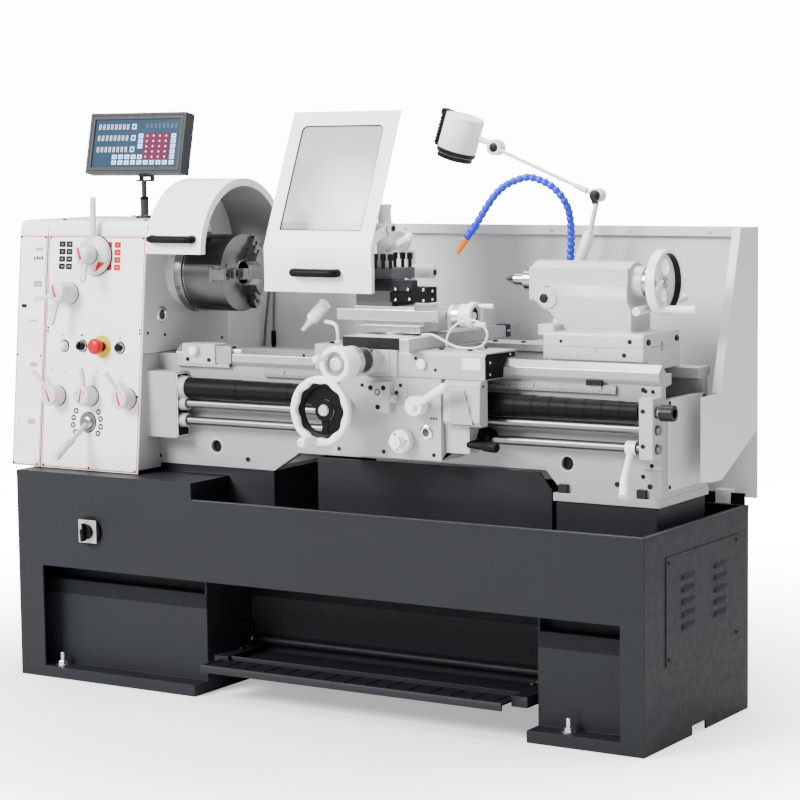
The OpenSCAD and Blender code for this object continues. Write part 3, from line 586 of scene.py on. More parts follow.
def digits(b, text, o, xdir, ydir, size, material, lift=0.25, space=0.72, bold=0.13):
    """Plain seven-bar style numerals built of small bars: generic numbers only."""
    seg = {"0": "abcdef", "1": "bc", "2": "abged", "3": "abgcd", "4": "fgbc", "5": "afgcd", "6": "afgedc", "7": "abc", "8": "abcdefg", "9": "abfgcd", "-": "g", ".": "."}
    x, y = Vector(xdir).normalized(), Vector(ydir).normalized()
    n = x.cross(y)
    o = Vector(o)
    w, h, t = size * 0.52, size, size * bold
    start = -(len(text) * size * space) / 2
    for i, ch in enumerate(text):
        p = o + x * (start + (i + 0.5) * size * space)
        for s in seg.get(ch, ""):
            if s == ".":
                r = [(-t / 2, -h / 2), (t / 2, -h / 2 + t)]
            else:
                r = {"a": [(-w / 2, h / 2 - t), (w / 2, h / 2)], "d": [(-w / 2, -h / 2), (w / 2, -h / 2 + t)], "g": [(-w / 2, -t / 2), (w / 2, t / 2)],
                     "f": [(-w / 2, 0), (-w / 2 + t, h / 2)], "b": [(w / 2 - t, 0), (w / 2, h / 2)], "e": [(-w / 2, -h / 2), (-w / 2 + t, 0)], "c": [(w / 2 - t, -h / 2), (w / 2, 0)]}[s]
            (x0, y0), (x1, y1) = r
            vs = [p + x * a + y * c + n * k for k in (0, lift) for a, c in ((x0, y0), (x1, y0), (x1, y1), (x0, y1))]
            b.add(vs, [[3, 2, 1, 0], [4, 5, 6, 7], [0, 1, 5, 4], [1, 2, 6, 5], [2, 3, 7, 6], [3, 0, 4, 7]], material)
    return b


def arrow(b, o, xdir, ydir, w, h, material, lift=0.3):
    x, y = Vector(xdir).normalized(), Vector(ydir).normalized()
    n = x.cross(y)
    o = Vector(o)
    base = [o - x * w / 2, o + x * w / 2, o + y * h]
    vs = base + [p + n * lift for p in base]
    b.add(vs, [[2, 1, 0], [3, 4, 5], [0, 1, 4, 3], [1, 2, 5, 4], [2, 0, 3, 5]], material)
    return b


def cable(name, body, pts, r, material, n=12, step=5.0):
    """A flexible cable as a declared cord: a tube along a smooth line, measured along that line."""
    b = B()
    b.sweep(pts, r, material, n, step)
    o = b.obj(name, body)
    line = [W(p) for p in smooth_line(pts, step)]
    return o

# ---------------------------------------------------------------- the CAD solids, cleaned, rounded and finished
adopt("base_cabinet", "slate", 1.6, mats=("slate_top",), pick=lambda c, n, a: 1 if (n.z > 0.6 and 300 < c.z < 312) or (c.z > 303 and n.y < -0.5 and c.y > 500) or (c.z > 303 and n.x < -0.5 and c.x > 1800) or (c.z > 303 and n.x > 0.5 and 560 < c.x < 580) or (n.y < -0.5 and 80 < c.y < 100 and 250 < c.z < 306) else 0)
adopt("bed", "bed_enamel", 1.6, mats=("ground_x",), pick=lambda c, n, a: 1 if (c.z > 846 and (c.z > 858 or abs(n.z) > 0.1 or c.x > 1814)) else 0)
adopt("gap_bridge", "bed_enamel", 1.4, mats=("ground_x", "turned"), pick=lambda c, n, a: 1 if c.z > 846 and abs(n.x) < 0.5 else (2 if n.x > 0.5 else 0))
adopt("rack", "cast_iron", 0.5)
adopt("motor", "motor_grey", 1.5)
adopt("headstock_casting", "cast_enamel", 2.6, mats=("turned",), pick=lambda c, n, a: 1 if c.x > 386 and abs(c.z - 1140) < 10 and c.y > 460 else 0)
adopt("headstock_cover", "enamel", 2.2)
adopt("front_panel", "enamel", 0.7)
adopt("feed_gearbox", "bed_enamel", 2.4, mats=("turned",), pick=lambda c, n, a: 0)
adopt("gear_cover", "enamel", 1.4)
adopt("spindle", "smooth_steel", 1.2)
adopt("screw_end_bracket", "apron_enamel", 2.2)
adopt("splash_guard", "splash_enamel", 0.7)
adopt("dro_mast", "anthracite", 0.9)
adopt("saddle", "apron_enamel", 1.6, mats=("ground_x",), pick=lambda c, n, a: 1 if (c.x > 1186 and c.x < 1214 and c.z > 903.5) else 0)
adopt("apron", "apron_enamel", 1.8)
adopt("brake_pedal", "dark_enamel", 0.8)
adopt("cross_slide", "cast_iron", 1.0, mats=("scraped", "blackened", "guard_enamel"), pick=lambda c, n, a: 3 if (c.z > 932.4 and c.y > 380) else (1 if n.z > 0.9 else (2 if c.y < 80 else 0)))
adopt("compound_base", "turned", 1.0)
adopt("tailstock", "cast_enamel", 2.6)
adopt("quill", "turned", 0.5)
adopt("leadscrew", "smooth_steel", 0.6, mats=("blackened",), pick=lambda c, n, a: 1 if c.x > 1828 else 0)
adopt("feed_rod", "smooth_steel", 0.6)
adopt("control_rod", "smooth_steel", 0.6, mats=("enamel",), pick=lambda c, n, a: 1 if c.x > 1741 and c.x < 1800 and (abs(c.z - 692) > 11.2 or abs(c.y - 133) > 11.2) else 0)
for n_ in (
           "half_nut_lever", "feed_knob", "toolpost_lever", "lamp_lower_arm", "lamp_upper_arm"):
    adopt(n_, "enamel", 0.8)
for n_ in ("carriage_lever",):
    adopt(n_, "black_plastic", 0.7)
adopt("dro_console", "anthracite", 1.5)

# ---------------------------------------------------------------- base cabinet: vents, switch, pedal, hardware
b = B()
b.box((1849.9, 110, 190), (1852.2, 510, 446), "slate")
b.obj("vent_panel", "root", 0.9)


def louvre(b, y0, y1, zc, x, h=15.0, out=5.5, material="slate"):
    N, S = 22, 8
    vs, fs = [], []
    for i in range(N + 1):
        t = -1 + 2 * i / N
        e = max(0.0, 1 - abs(t) ** 6) ** 0.6
        y = y0 + (y1 - y0) * i / N
        for s in range(S + 1):
            u = s / S
            vs.append((x - 0.2 + (out * e) * math.sin(u * math.pi / 2) ** 0.9, y, zc + h / 2 - h * u))
        vs.append((x - 0.2 + max(0.0, (out - 1.4) * e), y, zc - h / 2))
        vs.append((x - 0.2, y, zc - h / 2 + 2.0))
    m = S + 3
    for i in range(N):
        for s in range(m - 1):
            fs.append([i * m + s, (i + 1) * m + s, (i + 1) * m + s + 1, i * m + s + 1])
    b.add(vs, fs, material)


b = B()
for k in range(5):
    louvre(b, 188, 266, 389 - 29.4 * k, 1852.2)
    louvre(b, 366, 444, 389 - 29.4 * k, 1852.2)
b.obj("vent_louvres", "root")
b = B()
for k in range(5):
    for y in (190, 368):
        b.box((1852.15, y, 389 - 29.4 * k - 8.2), (1852.7, y + 74, 389 - 29.4 * k - 5.4), "print_dark")
b.obj("vent_slits", "root")
b = B()
for y, z in ((124, 432), (124, 205), (497, 432), (497, 205)):
    b.rev((1852.2, y, z), (1, 0, 0), [(-0.2, 5.2), (0.9, 5.2), (2.4, 4.2), (3.2, 2.2), (1.8, 1.9), (1.8, 0)], "blackened", 24)
b.obj("vent_screws", "root")

# folded rim, lighter where the edge is rubbed bright
b = B()
b.prism("x", 579, 1849.2, [(-0.3, 500), (0.2, 500), (1.2, 506.4), (4, 507.6), (13.4, 507.6), (13.4, 507), (4.5, 507), (-0.1, 505.2)], "slate")
b.prism("y", 6, 572, [(1850.3, 500), (1849.8, 500), (1848.8, 506.4), (1846, 507.6), (1836.6, 507.6), (1836.6, 507), (1845.5, 507), (1850.1, 505.2)], "slate")
b.obj("rim_fold", "root", 0.4)

# main switch: body, plate and turning handle
b = B()
b.rev((248, 0.5, 404), (0, -1, 0), [(0, 36.5), (8.5, 36.5), (10.5, 35), (11, 32), (11, 0)], "black_plastic", 56)
b.prism("y", -13.4, -10.8, [(248 - 29, 404 - 30), (248 + 29, 404 - 30), (248 + 29, 404 + 30), (248 - 29, 404 + 30)], "plate_grey")
for a in range(0, 360, 45):
    t = math.radians(a)
    b.box((248 + 24 * math.cos(t) - 1.0, -13.7, 404 + 24 * math.sin(t) - 1.0), (248 + 24 * math.cos(t) + 1.0, -13.3, 404 + 24 * math.sin(t) + 1.0), "plate_blue")
b.obj("main_switch_body", "root", 0.8)
b = B()
digits(b, "0", (248, -13.4, 429), (1, 0, 0), (0, 0, 1), 6, "print_dark", 0.25)
digits(b, "1", (272, -13.4, 404), (1, 0, 0), (0, 0, 1), 6, "print_dark", 0.25)
b.obj("main_switch_numerals", "root")
b = B()
b.rev((248, -13.6, 404), (0, -1, 0), [(-6, 0), (-6, 5), (0.2, 5), (0.2, 19), (3, 20), (9, 19), (10.5, 16.5), (11, 0)], "black_plastic", 40)
b.prism("y", -38, -22, [(243.5, 383), (246, 380.5), (250, 380.5), (252.5, 383), (252.5, 425), (250, 427.5), (246, 427.5), (243.5, 425)], "black_plastic")
b.box((247.2, -38.4, 413), (248.8, -37.8, 426), "print_white")
o = b.obj("main_switch_finish", "main_switch", 1.0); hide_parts("main_switch")

# tread plate of the pedal: slanted ribs and a folded nose
b = B()
random.seed(4)
x = 616.0
while x < 1462:
    p = [(x, 62), (x + 6, 62), (x + 6, -12), (x, -12)]
    b.prism("z", 89.9, 91.9, p, "dark_enamel")
    x += 60.0
b.obj("pedal_ribs", "brake_pedal", 0.5)
b = B()
b.prism("x", 611, 1488, [(-21.2, 72.5), (-16, 72.5), (-15, 84), (-15, 91.5), (-19.6, 91.5), (-21.2, 89)], "slate")
for x0 in (618, 1478):
    for y in (150, 178):
        b.hexhead((x0, y, 100), (0, 0, 1), 13, 6, "blackened")
b.obj("pedal_nose", "brake_pedal", 0.5)
b = B()
for x0, d in ((596, 1), (1524, -1)):
    b.ring((x0, 240, 110), (d, 0, 0), -3, 0, 6.5, 14, "zinc", 40)
b.obj("pedal_washers", "root")
# heel stop and return-spring bracket by the right leg
b = B()
b.prism("x", 1500, 1524, [(14, 60), (52, 60), (60, 72), (60, 112), (52, 120), (26, 120), (14, 104)], "dark_enamel") if False else None
for x0, x1, d in ((1537, 1543, -1), (577, 583.5, 1)):
    b.box((x0, 230, 62), (x1, 255.5, 150), "dark_enamel")
    for z in (76, 138):
        b.hexhead((x0 if d < 0 else x1, 243, z), (d, 0, 0), 10, 5, "blackened", ref=(0, 0, 1))
b.obj("pedal_brackets", "root", 0.6)

# shadow channel under the tray and the rear closing sheet between the legs
b = B()
for x0, x1 in ((6.5, 576.5), (1543.5, 1843.5)):
    b.box((x0, 57.3, 218), (x1, 58.2, 256), "slate_top")
b.box((577.4, 254.6, 222), (1542.6, 255.9, 299), "slate_top")
b.obj("shadow_channel", "root")
b = B()
b.box((577.6, 556, 6), (1542.4, 558, 134), "slate_top")
b.obj("rear_closing_sheet", "root", 0.4)
b = B()
b.prism("x", 619, 1477, [(77, 86.2), (77, 84.6), (226, 84.6), (226, 91), (224.4, 91), (224.4, 86.2)], "dark_enamel")
b.obj("pedal_toe_plate", "brake_pedal", 0.3)
# the bare folded edge along the rim of the tray
b = B()
b.box((578, 0.5, 506.9), (1849.5, 4.6, 507.3), "rim_edge")
b.box((1845.4, 4.6, 506.9), (1849.5, 572, 507.3), "rim_edge")
b.obj("tray_rim_edge", "root")

# levelling bolts: threads, lock nut and washer
b = B()
for x in (118, 1640):
    for y in (30, 547):
        prof = [(24, 6.4)]
        z = 24.0
        while z < 61:
            prof += [(z + 0.4, 6.3), (z + 1.0, 7.0), (z + 1.2, 7.0), (z + 1.8, 6.3)]
            z += 2.0
        prof += [(62.5, 6.3), (64, 5.4), (64, 0)]
        b.rev((x, y, 0), (0, 0, 1), [(0, 0), (0, 15), (0.6, 16), (2.6, 16), (3.2, 14), (3.2, 7), (23.9, 7)] + prof, "zinc", 32)
        b.rev((x, y, 30.1), (0, 0, 1), [(0, 12.5), (0.1, 16.8), (2.2, 16.8), (2.4, 12.5)], "zinc", 40)
        b.hexhead((x, y, 32.4), (0, 0, 1), 22, 9.5, "zinc", ref=(1, 0.3, 0))
o = b.obj("levelling_bolts_finish", "root"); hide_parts("levelling_bolts")

# drive motor: cooling ribs, fan cowl and terminal box lid
b = B()
for k in range(26):
    a = 2 * math.pi * k / 26
    if math.sin(a) < -0.55:
        continue
    c_, s_ = math.cos(a), math.sin(a)
    p0 = (330 + 93 * c_, 170 + 93 * s_)
    p1 = (330 + 104 * c_, 170 + 104 * s_)
    n_ = (-s_ * 1.4, c_ * 1.4)
    b.prism("x", 130, 380, [(p0[0] + n_[0], p0[1] + n_[1]), (p1[0] + n_[0], p1[1] + n_[1]), (p1[0] - n_[0], p1[1] - n_[1]), (p0[0] - n_[0], p0[1] - n_[1])], "motor_grey")
b.obj("motor_ribs", "root")

# ---------------------------------------------------------------- bed: end plate, screws, rack teeth
b = B()
b.box((1814.9, 190, 586), (1817.4, 392, 800), "cast_enamel")
b.obj("bed_end_plate", "root", 1.0)
b = B()
for y, z in ((198, 793), (384, 793), (198, 596), (384, 596)):
    b.rev((1817.4, y, z), (1, 0, 0), [(-0.2, 5), (1.6, 5), (2.6, 4.2), (2.6, 2.6), (1.2, 2.4), (1.2, 0)], "blackened", 24)
b.obj("bed_end_screws", "root")
b = B()
for x in (1565, 1780):
    b.rev((x, 157, 571.1), (0, 0, 1), [(0, 9.5), (0.4, 9.5), (0.5, 0)], "blackened", 32) if False else None
for x in (1552, 1796):
    for y in (158.2, 416):
        b.rev((x, y + (4.6 if y < 200 else 0), 571), (0, 0, 1), [(0, 6.5), (1.4, 6.5), (1.8, 5)], "zinc", 28) if False else None
b = B()
for x in (640, 1700, 1785):
    b.socket((x, 163.2, 600 if x > 1000 else 596), (0, -1, 0), 6.2, 3.0)
b.obj("bed_front_bolts", "root")
# core holes of the bed's front web, rimmed
b = B()
for x, z in ((540, 624), (1568, 641)):
    b.ring((x, 163.2, z), (0, -1, 0), -2.5, 0.8, 16.6, 20.5, "cast_enamel", 48, 0.8)
    b.rev((x, 176, z), (0, -1, 0), [(0, 17.2), (1, 17.2), (1, 0)], "print_dark", 40)
b.obj("bed_core_holes", "root")
# rack teeth
b = B()
pts = [(700.5, 813.2)]
x = 702.0
while x < 1696:
    pts += [(x, 813.0), (x + 1.6, 818.2), (x + 3.4, 818.2), (x + 5.0, 813.0)]
    x += 6.28
b.prism("y", 153.6, 155.4, [(700.5, 819.5)] + pts + [(1699, 813.2), (1699, 819.5)], "ground_x") if False else None
vs, fs = [], []
x = 702.0
while x < 1696:
    k = len(vs)
    vs += [(x, 155.2, 811.8), (x + 3.0, 155.2, 811.8), (x + 2.2, 152.6, 812.6), (x + 0.8, 152.6, 812.6), (x, 155.2, 821), (x + 3.0, 155.2, 821), (x + 2.2, 152.6, 821), (x + 0.8, 152.6, 821)]
    fs += [[k + a for a in f] for f in ([3, 2, 1, 0], [4, 5, 6, 7], [0, 1, 5, 4], [1, 2, 6, 5], [2, 3, 7, 6], [3, 0, 4, 7])]
    x += 6.28
b.add(vs, fs, "ground_x")
for x in range(760, 1661, 180):
    b.socket((x, 154.9, 826), (0, -1, 0), 4.6, 2.6)
b.obj("rack_teeth", "root")
# stop and clamp block on the front rail near the tailstock
b = B()
b.box((1392 + 60, 148.4, 836), (1392 + 62, 149, 838), "blackened") if False else None
b.obj("rail_stop", "root") if False else None
# gap bridge: lifting eye plug, joint pins and screws in its end
b = B()
b.rev((430, 164, 845), (1, 0, 0), [(-0.1, 0)], "zinc") if False else None
b.rev((470, 149.6, 858), (0, -1, 0), [(-2, 6.5), (0.6, 6.5), (1.2, 5.4), (1.2, 3.0), (0.2, 2.8), (0.2, 0)], "turned", 28)
b.rev((550, 149.6, 858), (0, -1, 0), [(-2, 6.5), (0.6, 6.5), (1.2, 5.4), (1.2, 3.0), (0.2, 2.8), (0.2, 0)], "turned", 28)
b.obj("gap_bridge_plugs", "root")

# ---------------------------------------------------------------- front panel: print, screws and fittings
T0 = panel(0, 552)
CL = math.cos(LEAN)


def pl(z):
    return (z - 552) / CL


def patch(b, x0, z0, x1, z1, material, lift=0.22, base=-0.05):
    b.box((x0, pl(z0), base), (x1, pl(z1), lift), material)


def frame_line(b, x0, z0, x1, z1, w, material):
    patch(b, x0, z0, x1, z0 + w, material)
    patch(b, x0, z1 - w, x1, z1, material)
    patch(b, x0, z0 + w, x0 + w, z1 - w, material)
    patch(b, x1 - w, z0 + w, x1, z1 - w, material)


def rounded(b, cx_, cz_, w, h, r, material, lift=0.25, n=5):
    pts = []
    for sx, sy, a0 in ((1, 1, 0), (-1, 1, 90), (-1, -1, 180), (1, -1, 270)):
        for k in range(n + 1):
            t = math.radians(a0 + 90 * k / n)
            pts.append((cx_ + sx * (w / 2 - r) + r * math.cos(t), pl(cz_) + sy * (h / 2 - r) + r * math.sin(t)))
    b.prism("z", -0.05, lift, pts, material)


def circle_line(b, x, z, r, w, material, n=40):
    b.ring((x, pl(z), 0), (0, 0, 1), -0.05, 0.25, r - w, r, material, n, 0.02)


# printed lines and marks on the fixed panel
b = B(); b.T = T0
frame_line(b, 36.5, 554.5, 357.5, 1163.5, 2.4, "print_red")
for row in range(4):
    zc = 1142.5 - row * 19.5
    for x in (82, 106):
        rounded(b, x, zc, 21, 15.5, 2.6, "print_dark")
    for x in (237, 268):
        rounded(b, x, zc, 25 if x == 237 else 21, 15.5, 2.6, "print_red")
for x, z in ((121, 982), (101, 982)):
    circle_line(b, x, z, 5.2, 0.8, "print_grey")
for x, z in ((148, 706), (140.5, 687.7), (139.5, 668.5), (148, 650), (223.6, 706.4), (231.5, 688.6), (232.5, 668.3), (224.3, 650.4)):
    circle_line(b, x, z, 8.0, 4.2, "print_dark")
for x, z in ((143, 905), (171, 905)):
    circle_line(b, x, z, 4.0, 0.8, "print_grey")
for x, z, s in ((96, 903, 9), (288, 902, 9), (57, 812, 8), (84, 818, 6), (108, 806, 7), (166, 812, 6), (213, 812, 8), (240, 806, 7), (300, 803, 8), (318, 810, 7), (338, 800, 6)):
    rounded(b, x, z, s, s * 0.55, 0.8, "print_grey", 0.18, 2)
b.box((154, pl(902.5), -0.05), (162, pl(907), 0.2), "print_dark")
b.obj("panel_print", "root")

# numerals in the boxes and rings
b = B()
nums_b = (("25", "180"), ("45", "320"), ("80", "560"), ("140", "950"))
nums_r = (("240", "37"), ("410", "62"), ("720", "110"), ("1400", "200"))
for row in range(4):
    zc = 1142.5 - row * 19.5
    for x, t in zip((82, 106), nums_b[row]):
        o = T0 @ Vector((x, pl(zc), 0.25))
        digits(b, t, o, (1, 0, 0), (0, math.sin(LEAN), CL), 4.6, "print_grey", 0.1, 0.72, 0.13)
    for x, t in zip((237, 268), nums_r[row]):
        o = T0 @ Vector((x, pl(zc), 0.25))
        digits(b, t, o, (1, 0, 0), (0, math.sin(LEAN), CL), 4.6, "print_grey", 0.1, 0.72, 0.13)
for k, (x, z) in enumerate(((148, 706), (140.5, 687.7), (139.5, 668.5), (148, 650), (223.6, 706.4), (231.5, 688.6), (232.5, 668.3), (224.3, 650.4))):
    o = T0 @ Vector((x, pl(z), 0.0))
    digits(b, str(k + 1), o, (1, 0, 0), (0, math.sin(LEAN), CL), 4.6, "print_dark", 0.25, 0.72, 0.2)
b.obj("panel_numerals", "root")

# printed table on the gear cover, with its red border
b = B(); b.T = T0
frame_line(b, -64.5, 554.5, 28.5, 1163.5, 2.4, "print_red")
for k in range(9):
    patch(b, -58 + k * 9.6, 716, -57.4 + k * 9.6, 798, "print_grey", 0.15)
    patch(b, -58 + k * 9.6, 580, -57.4 + k * 9.6, 655, "print_grey", 0.15)
    patch(b, -58 + k * 9.6, 868, -57.4 + k * 9.6, 944, "print_grey", 0.15)
for k in range(8):
    patch(b, -58, 716 + k * 11.6, 19.2, 716.6 + k * 11.6, "print_grey", 0.15)
    patch(b, -58, 580 + k * 10.6, 19.2, 580.6 + k * 10.6, "print_grey", 0.15)
for k in range(3):
    patch(b, -58, 868 + k * 38, 19.2, 868.6 + k * 38, "print_grey", 0.15)
rounded(b, -43, 977, 18, 9.5, 1, "print_dark")
rounded(b, -4, 821.5, 26, 12, 1, "plate_grey")
rounded(b, -4, 671, 26, 13, 1, "plate_grey")
for k in range(4):
    patch(b, -11 + k * 7, 1028, -7 + k * 7, 1042, "print_dark", 0.2)
patch(b, -11, 1041, 16, 1043, "print_dark", 0.2)
for k in range(4):
    patch(b, -14 + k * 8.5, 1098 + (k % 2) * 2, -10 + k * 8.5, 1109 + (k % 2) * 2, "print_dark", 0.2)
patch(b, -17, 1103, 20, 1105, "print_dark", 0.2)
rounded(b, 3, 1128, 26, 9, 1, "plate_grey")
patch(b, -22, 937, -2, 939, "print_dark", 0.2)
patch(b, -2, 932, 0, 945, "print_dark", 0.2)
circle_line(b, -47, 823, 5.5, 1.2, "print_grey")
patch(b, -49, 664, -47.6, 678, "print_dark", 0.2)
b.obj("gear_cover_print", "gear_cover")

# screws of both panels
b = B(); b.T = T0
for x, z in ((43, 1160), (351, 1160), (43, 921), (43, 912), (351, 923), (351, 914.5), (351, 752), (43, 559), (351, 559), (197, 559)):
    b.rev((x, pl(z), 0), (0, 0, 1), [(-0.1, 3.1), (0.5, 3.1), (1.5, 2.4), (1.9, 1.3), (0.8, 1.1), (0.8, 0)], "blackened", 18)
b.obj("panel_screws", "root")
b = B(); b.T = T0
for x, z in ((-60, 1160), (24, 1160), (-60, 846), (20, 846), (-60, 559), (20, 559)):
    b.rev((x, pl(z), 0), (0, 0, 1), [(-0.1, 3.1), (0.5, 3.1), (1.5, 2.4), (1.9, 1.3), (0.8, 1.1), (0.8, 0)], "blackened", 18)
b.obj("gear_cover_screws", "gear_cover")

# bezels of the electrical fittings, pilot lamp, stop disc, gear socket
b = B()
for x, z in ((161, 877), (287, 876), (100, 875)):
    b.T = panel(x, z)
    b.ring((0, 0, 0), (0, 0, 1), -0.2, 5.0, 11.6 if x != 100 else 10.2, 15.2, "chrome", 48, 1.2)
    b.ring((0, 0, 0), (0, 0, 1), -0.1, 1.2, 15.0, 17.2, "rubber", 48, 0.4)
b.T = panel(100, 875)
b.rev((0, 0, 0), (0, 0, 1), [(0, 10.4), (6, 10.4), (11, 9.8), (14.5, 7.8), (16.4, 4.4), (17, 0)], "white_plastic", 40)
b.T = panel(228, 877)
b.ring((0, 0, 0), (0, 0, 1), -0.1, 1.6, 10.5, 30, "yellow", 64, 0.5)
b.ring((0, 0, 0), (0, 0, 1), 1.6, 6, 9, 13.5, "blackened", 40, 0.5)
b.T = panel(190, 678)
b.ring((0, 0, 0), (0, 0, 1), -0.1, 3.4, 19.5, 26, "turned", 56, 1.0)
b.ring((0, 0, 0), (0, 0, 1), -0.1, 1.2, 26, 27.8, "print_dark", 56, 0.2)
b.obj("panel_fittings", "root")

# ---------------------------------------------------------------- knobs and levers of the headstock
def dot(b, x, y, z, r=1.9, material="blackened"):
    b.rev((x, y, z), (0, 0, 1), [(-0.2, r), (0.25, r), (0.15, r * 0.6), (0.15, 0)], material, 16)


def bar_mark(b, x, y, z, w, h, material="print_red", ang=0.0):
    c, s = math.cos(ang), math.sin(ang)
    pts = [(-w / 2, -h / 2), (w / 2, -h / 2), (w * 0.28, h / 2), (-w * 0.28, h / 2)]
    b.prism("z", z - 0.1, z + 0.3, [(x + px_ * c - py_ * s, y + px_ * s + py_ * c) for px_, py_ in pts], material)


def paddle(b, p, q, w0, w1, t0, t1, material, up=(0, 0, 1)):
    """Flat tapered lever with rounded edges, from p to q."""
    p, q = Vector(p), Vector(q)
    d = (q - p).normalized()
    upv = Vector(up)
    side = d.cross(upv).normalized()
    nv = side.cross(d).normalized()
    N, K = 14, 20
    vs, fs = [], []
    for i in range(N + 1):
        t = i / N
        w = w0 + (w1 - w0) * t
        h = t0 + (t1 - t0) * t
        end = 1.0
        if i >= N - 2:
            end = (1.0, 0.93, 0.62)[i - N + 2]
        c = p + (q - p) * (t if i < N - 1 else (1 - 0.35 / N if i == N - 1 else 1.0))
        for k in range(K):
            a = 2 * math.pi * k / K
            ca, sa = math.cos(a), math.sin(a)
            ex = math.copysign(abs(ca) ** 0.62, ca) * w / 2 * end
            ey = math.copysign(abs(sa) ** 0.62, sa) * h / 2 * end
            vs.append(c + side * ex + nv * ey)
    for i in range(N):
        for k in range(K):
            fs.append([i * K + k, i * K + (k + 1) % K, (i + 1) * K + (k + 1) % K, (i + 1) * K + k])
    fs.append(list(reversed(range(K))))
    fs.append([N * K + k for k in range(K)])
    b.add(vs, fs, material)
    return b


# speed dial: large disc with a long upright bar and a red pointer
b = B(); b.T = panel(198, 1114)
b.rev((0, 0, 0), (0, 0, 1), [(-5, 0), (-5, 8), (1.2, 8), (1.2, 46), (2.2, 50.5), (5, 52), (12, 52), (15.5, 50.8), (18, 48), (19.6, 44), (22, 30), (24.8, 26.4), (25, 24), (25, 6.2), (16, 6.2), (16, 0)], "cast_enamel", 72)
b.ring((0, 0, 0), (0, 0, 1), 0.4, 1.4, 46, 53.2, "blackened", 72, 0.2)
paddle(b, (-1.5, 34, 14), (-4, 152, 19), 17, 15, 12, 12, "cast_enamel")
b.prism("z", 20.0, 22.6, [(14, -43), (23.6, -18), (45, -19)], "print_red")
for a in (40, 160, 280):
    dot(b, 38 * math.cos(math.radians(a)), 38 * math.sin(math.radians(a)), 20.9, 1.8)
o = b.obj("speed_dial_finish", "speed_dial"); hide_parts("speed_dial")
b = B(); b.T = panel(198, 1114)
b.rev((0, 0, 0), (0, 0, 1), [(16, 0), (16, 5.9), (25.5, 5.9), (25.5, 20), (26.5, 22.6), (28, 23.6), (50, 23.6), (56, 22.8), (61, 20.2), (64, 15.5), (65.4, 9), (65.8, 0)], "cast_enamel", 56)
b.rev((0, 0, 0), (0, 0, 1), [(25.4, 23.9), (26.2, 24.2), (27, 23.9)], "print_dark", 56, closed=True)
bar_mark(b, -6, 2, 65.6, 8.0, 34, ang=math.radians(22))
dot(b, 8, -3, 65.0, 1.9)
paddle(b, (2, -14, 46), (9.5, -72, 65), 15, 17, 9, 9, "cast_enamel")
o = b.obj("speed_lever_finish", "speed_lever"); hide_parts("speed_lever")

# range dial with two levers
b = B(); b.T = panel(114, 1013)
b.rev((0, 0, 0), (0, 0, 1), [(-5, 0), (-5, 8), (1.0, 8), (1.0, 24), (1.8, 26.8), (3, 28), (38, 28), (44, 27.6), (52, 25.6), (57, 24.4), (59.5, 22.8), (61, 19), (61.6, 0)], "cast_enamel", 56)
b.rev((0, 0, 0), (0, 0, 1), [(37.6, 28.05), (38.2, 28.3), (38.8, 28.05)], "print_grey", 56)
bar_mark(b, -6, 3, 61.4, 7.5, 32, ang=math.radians(22))
dot(b, 8, -5, 60.9, 1.9)
paddle(b, (-3, -16, 46), (-13.5, -86, 58), 13, 17, 9, 9, "cast_enamel")
paddle(b, (-18, -4, 34), (-90, -20.5, 40), 12, 12, 8, 7, "cast_enamel", up=(0, 0, 1))
o = b.obj("range_dial_finish", "range_dial"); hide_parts("range_dial")

# three selector knobs
for i, (x, z, dx, dy) in enumerate(((86, 743, -56, 62), (196, 747, -4, 70), (322, 745, -46, 62))):
    b = B(); b.T = panel(x, z)
    b.rev((0, 0, 0), (0, 0, 1), [(-5, 0), (-5, 8), (1.2, 8), (1.2, 23), (2, 25.6), (4, 26.5), (38, 26.5), (41.5, 25.8), (43.6, 23.6), (44.3, 20), (44.4, 0)], "cast_enamel", 56)
    b.rev((0, 0, 0), (0, 0, 1), [(8.0, 26.55), (8.6, 26.9), (9.2, 26.55)], "print_grey", 56)
    bar_mark(b, -1, 0, 44.3, 6.5, 36, ang=math.radians((26, -8, 20)[i]))
    dot(b, -13, 4, 44.2, 1.8)
    dot(b, 11, 9, 44.2, 1.8)
    s = Vector((dx, dy, 0)).normalized()
    paddle(b, (s.x * 14, s.y * 14, 26), (dx * 1.06, dy * 1.06, 40), 9, 15, 8, 9, "cast_enamel")
    nm = "selector_lever_%d" % (i + 1)
    o = b.obj(nm + "_finish", nm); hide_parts(nm)

# gear joystick
b = B(); b.T = panel(190, 678)
b.rev((0, 0, 0), (0, 0, 1), [(-5, 0), (-5, 8), (1.2, 8), (1.2, 16), (2.6, 18.6), (6, 18.8), (8.5, 17.2), (10.8, 13.5), (11.4, 9), (11.5, 0)], "turned", 48)
b.rev((-0.5, -3, 4), (-11.5, -81, 96), [(2, 6.4), (60, 6.4), (62, 7.2), (63.5, 9.4), (66, 9.9), (76, 9.9), (77, 9.2), (78, 9.9), (120, 10.0), (135, 10.2), (138.5, 9.4), (140.5, 7.2), (141, 0)], "cast_enamel", 36)
o = b.obj("gear_handle_finish", "gear_handle"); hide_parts("gear_handle")

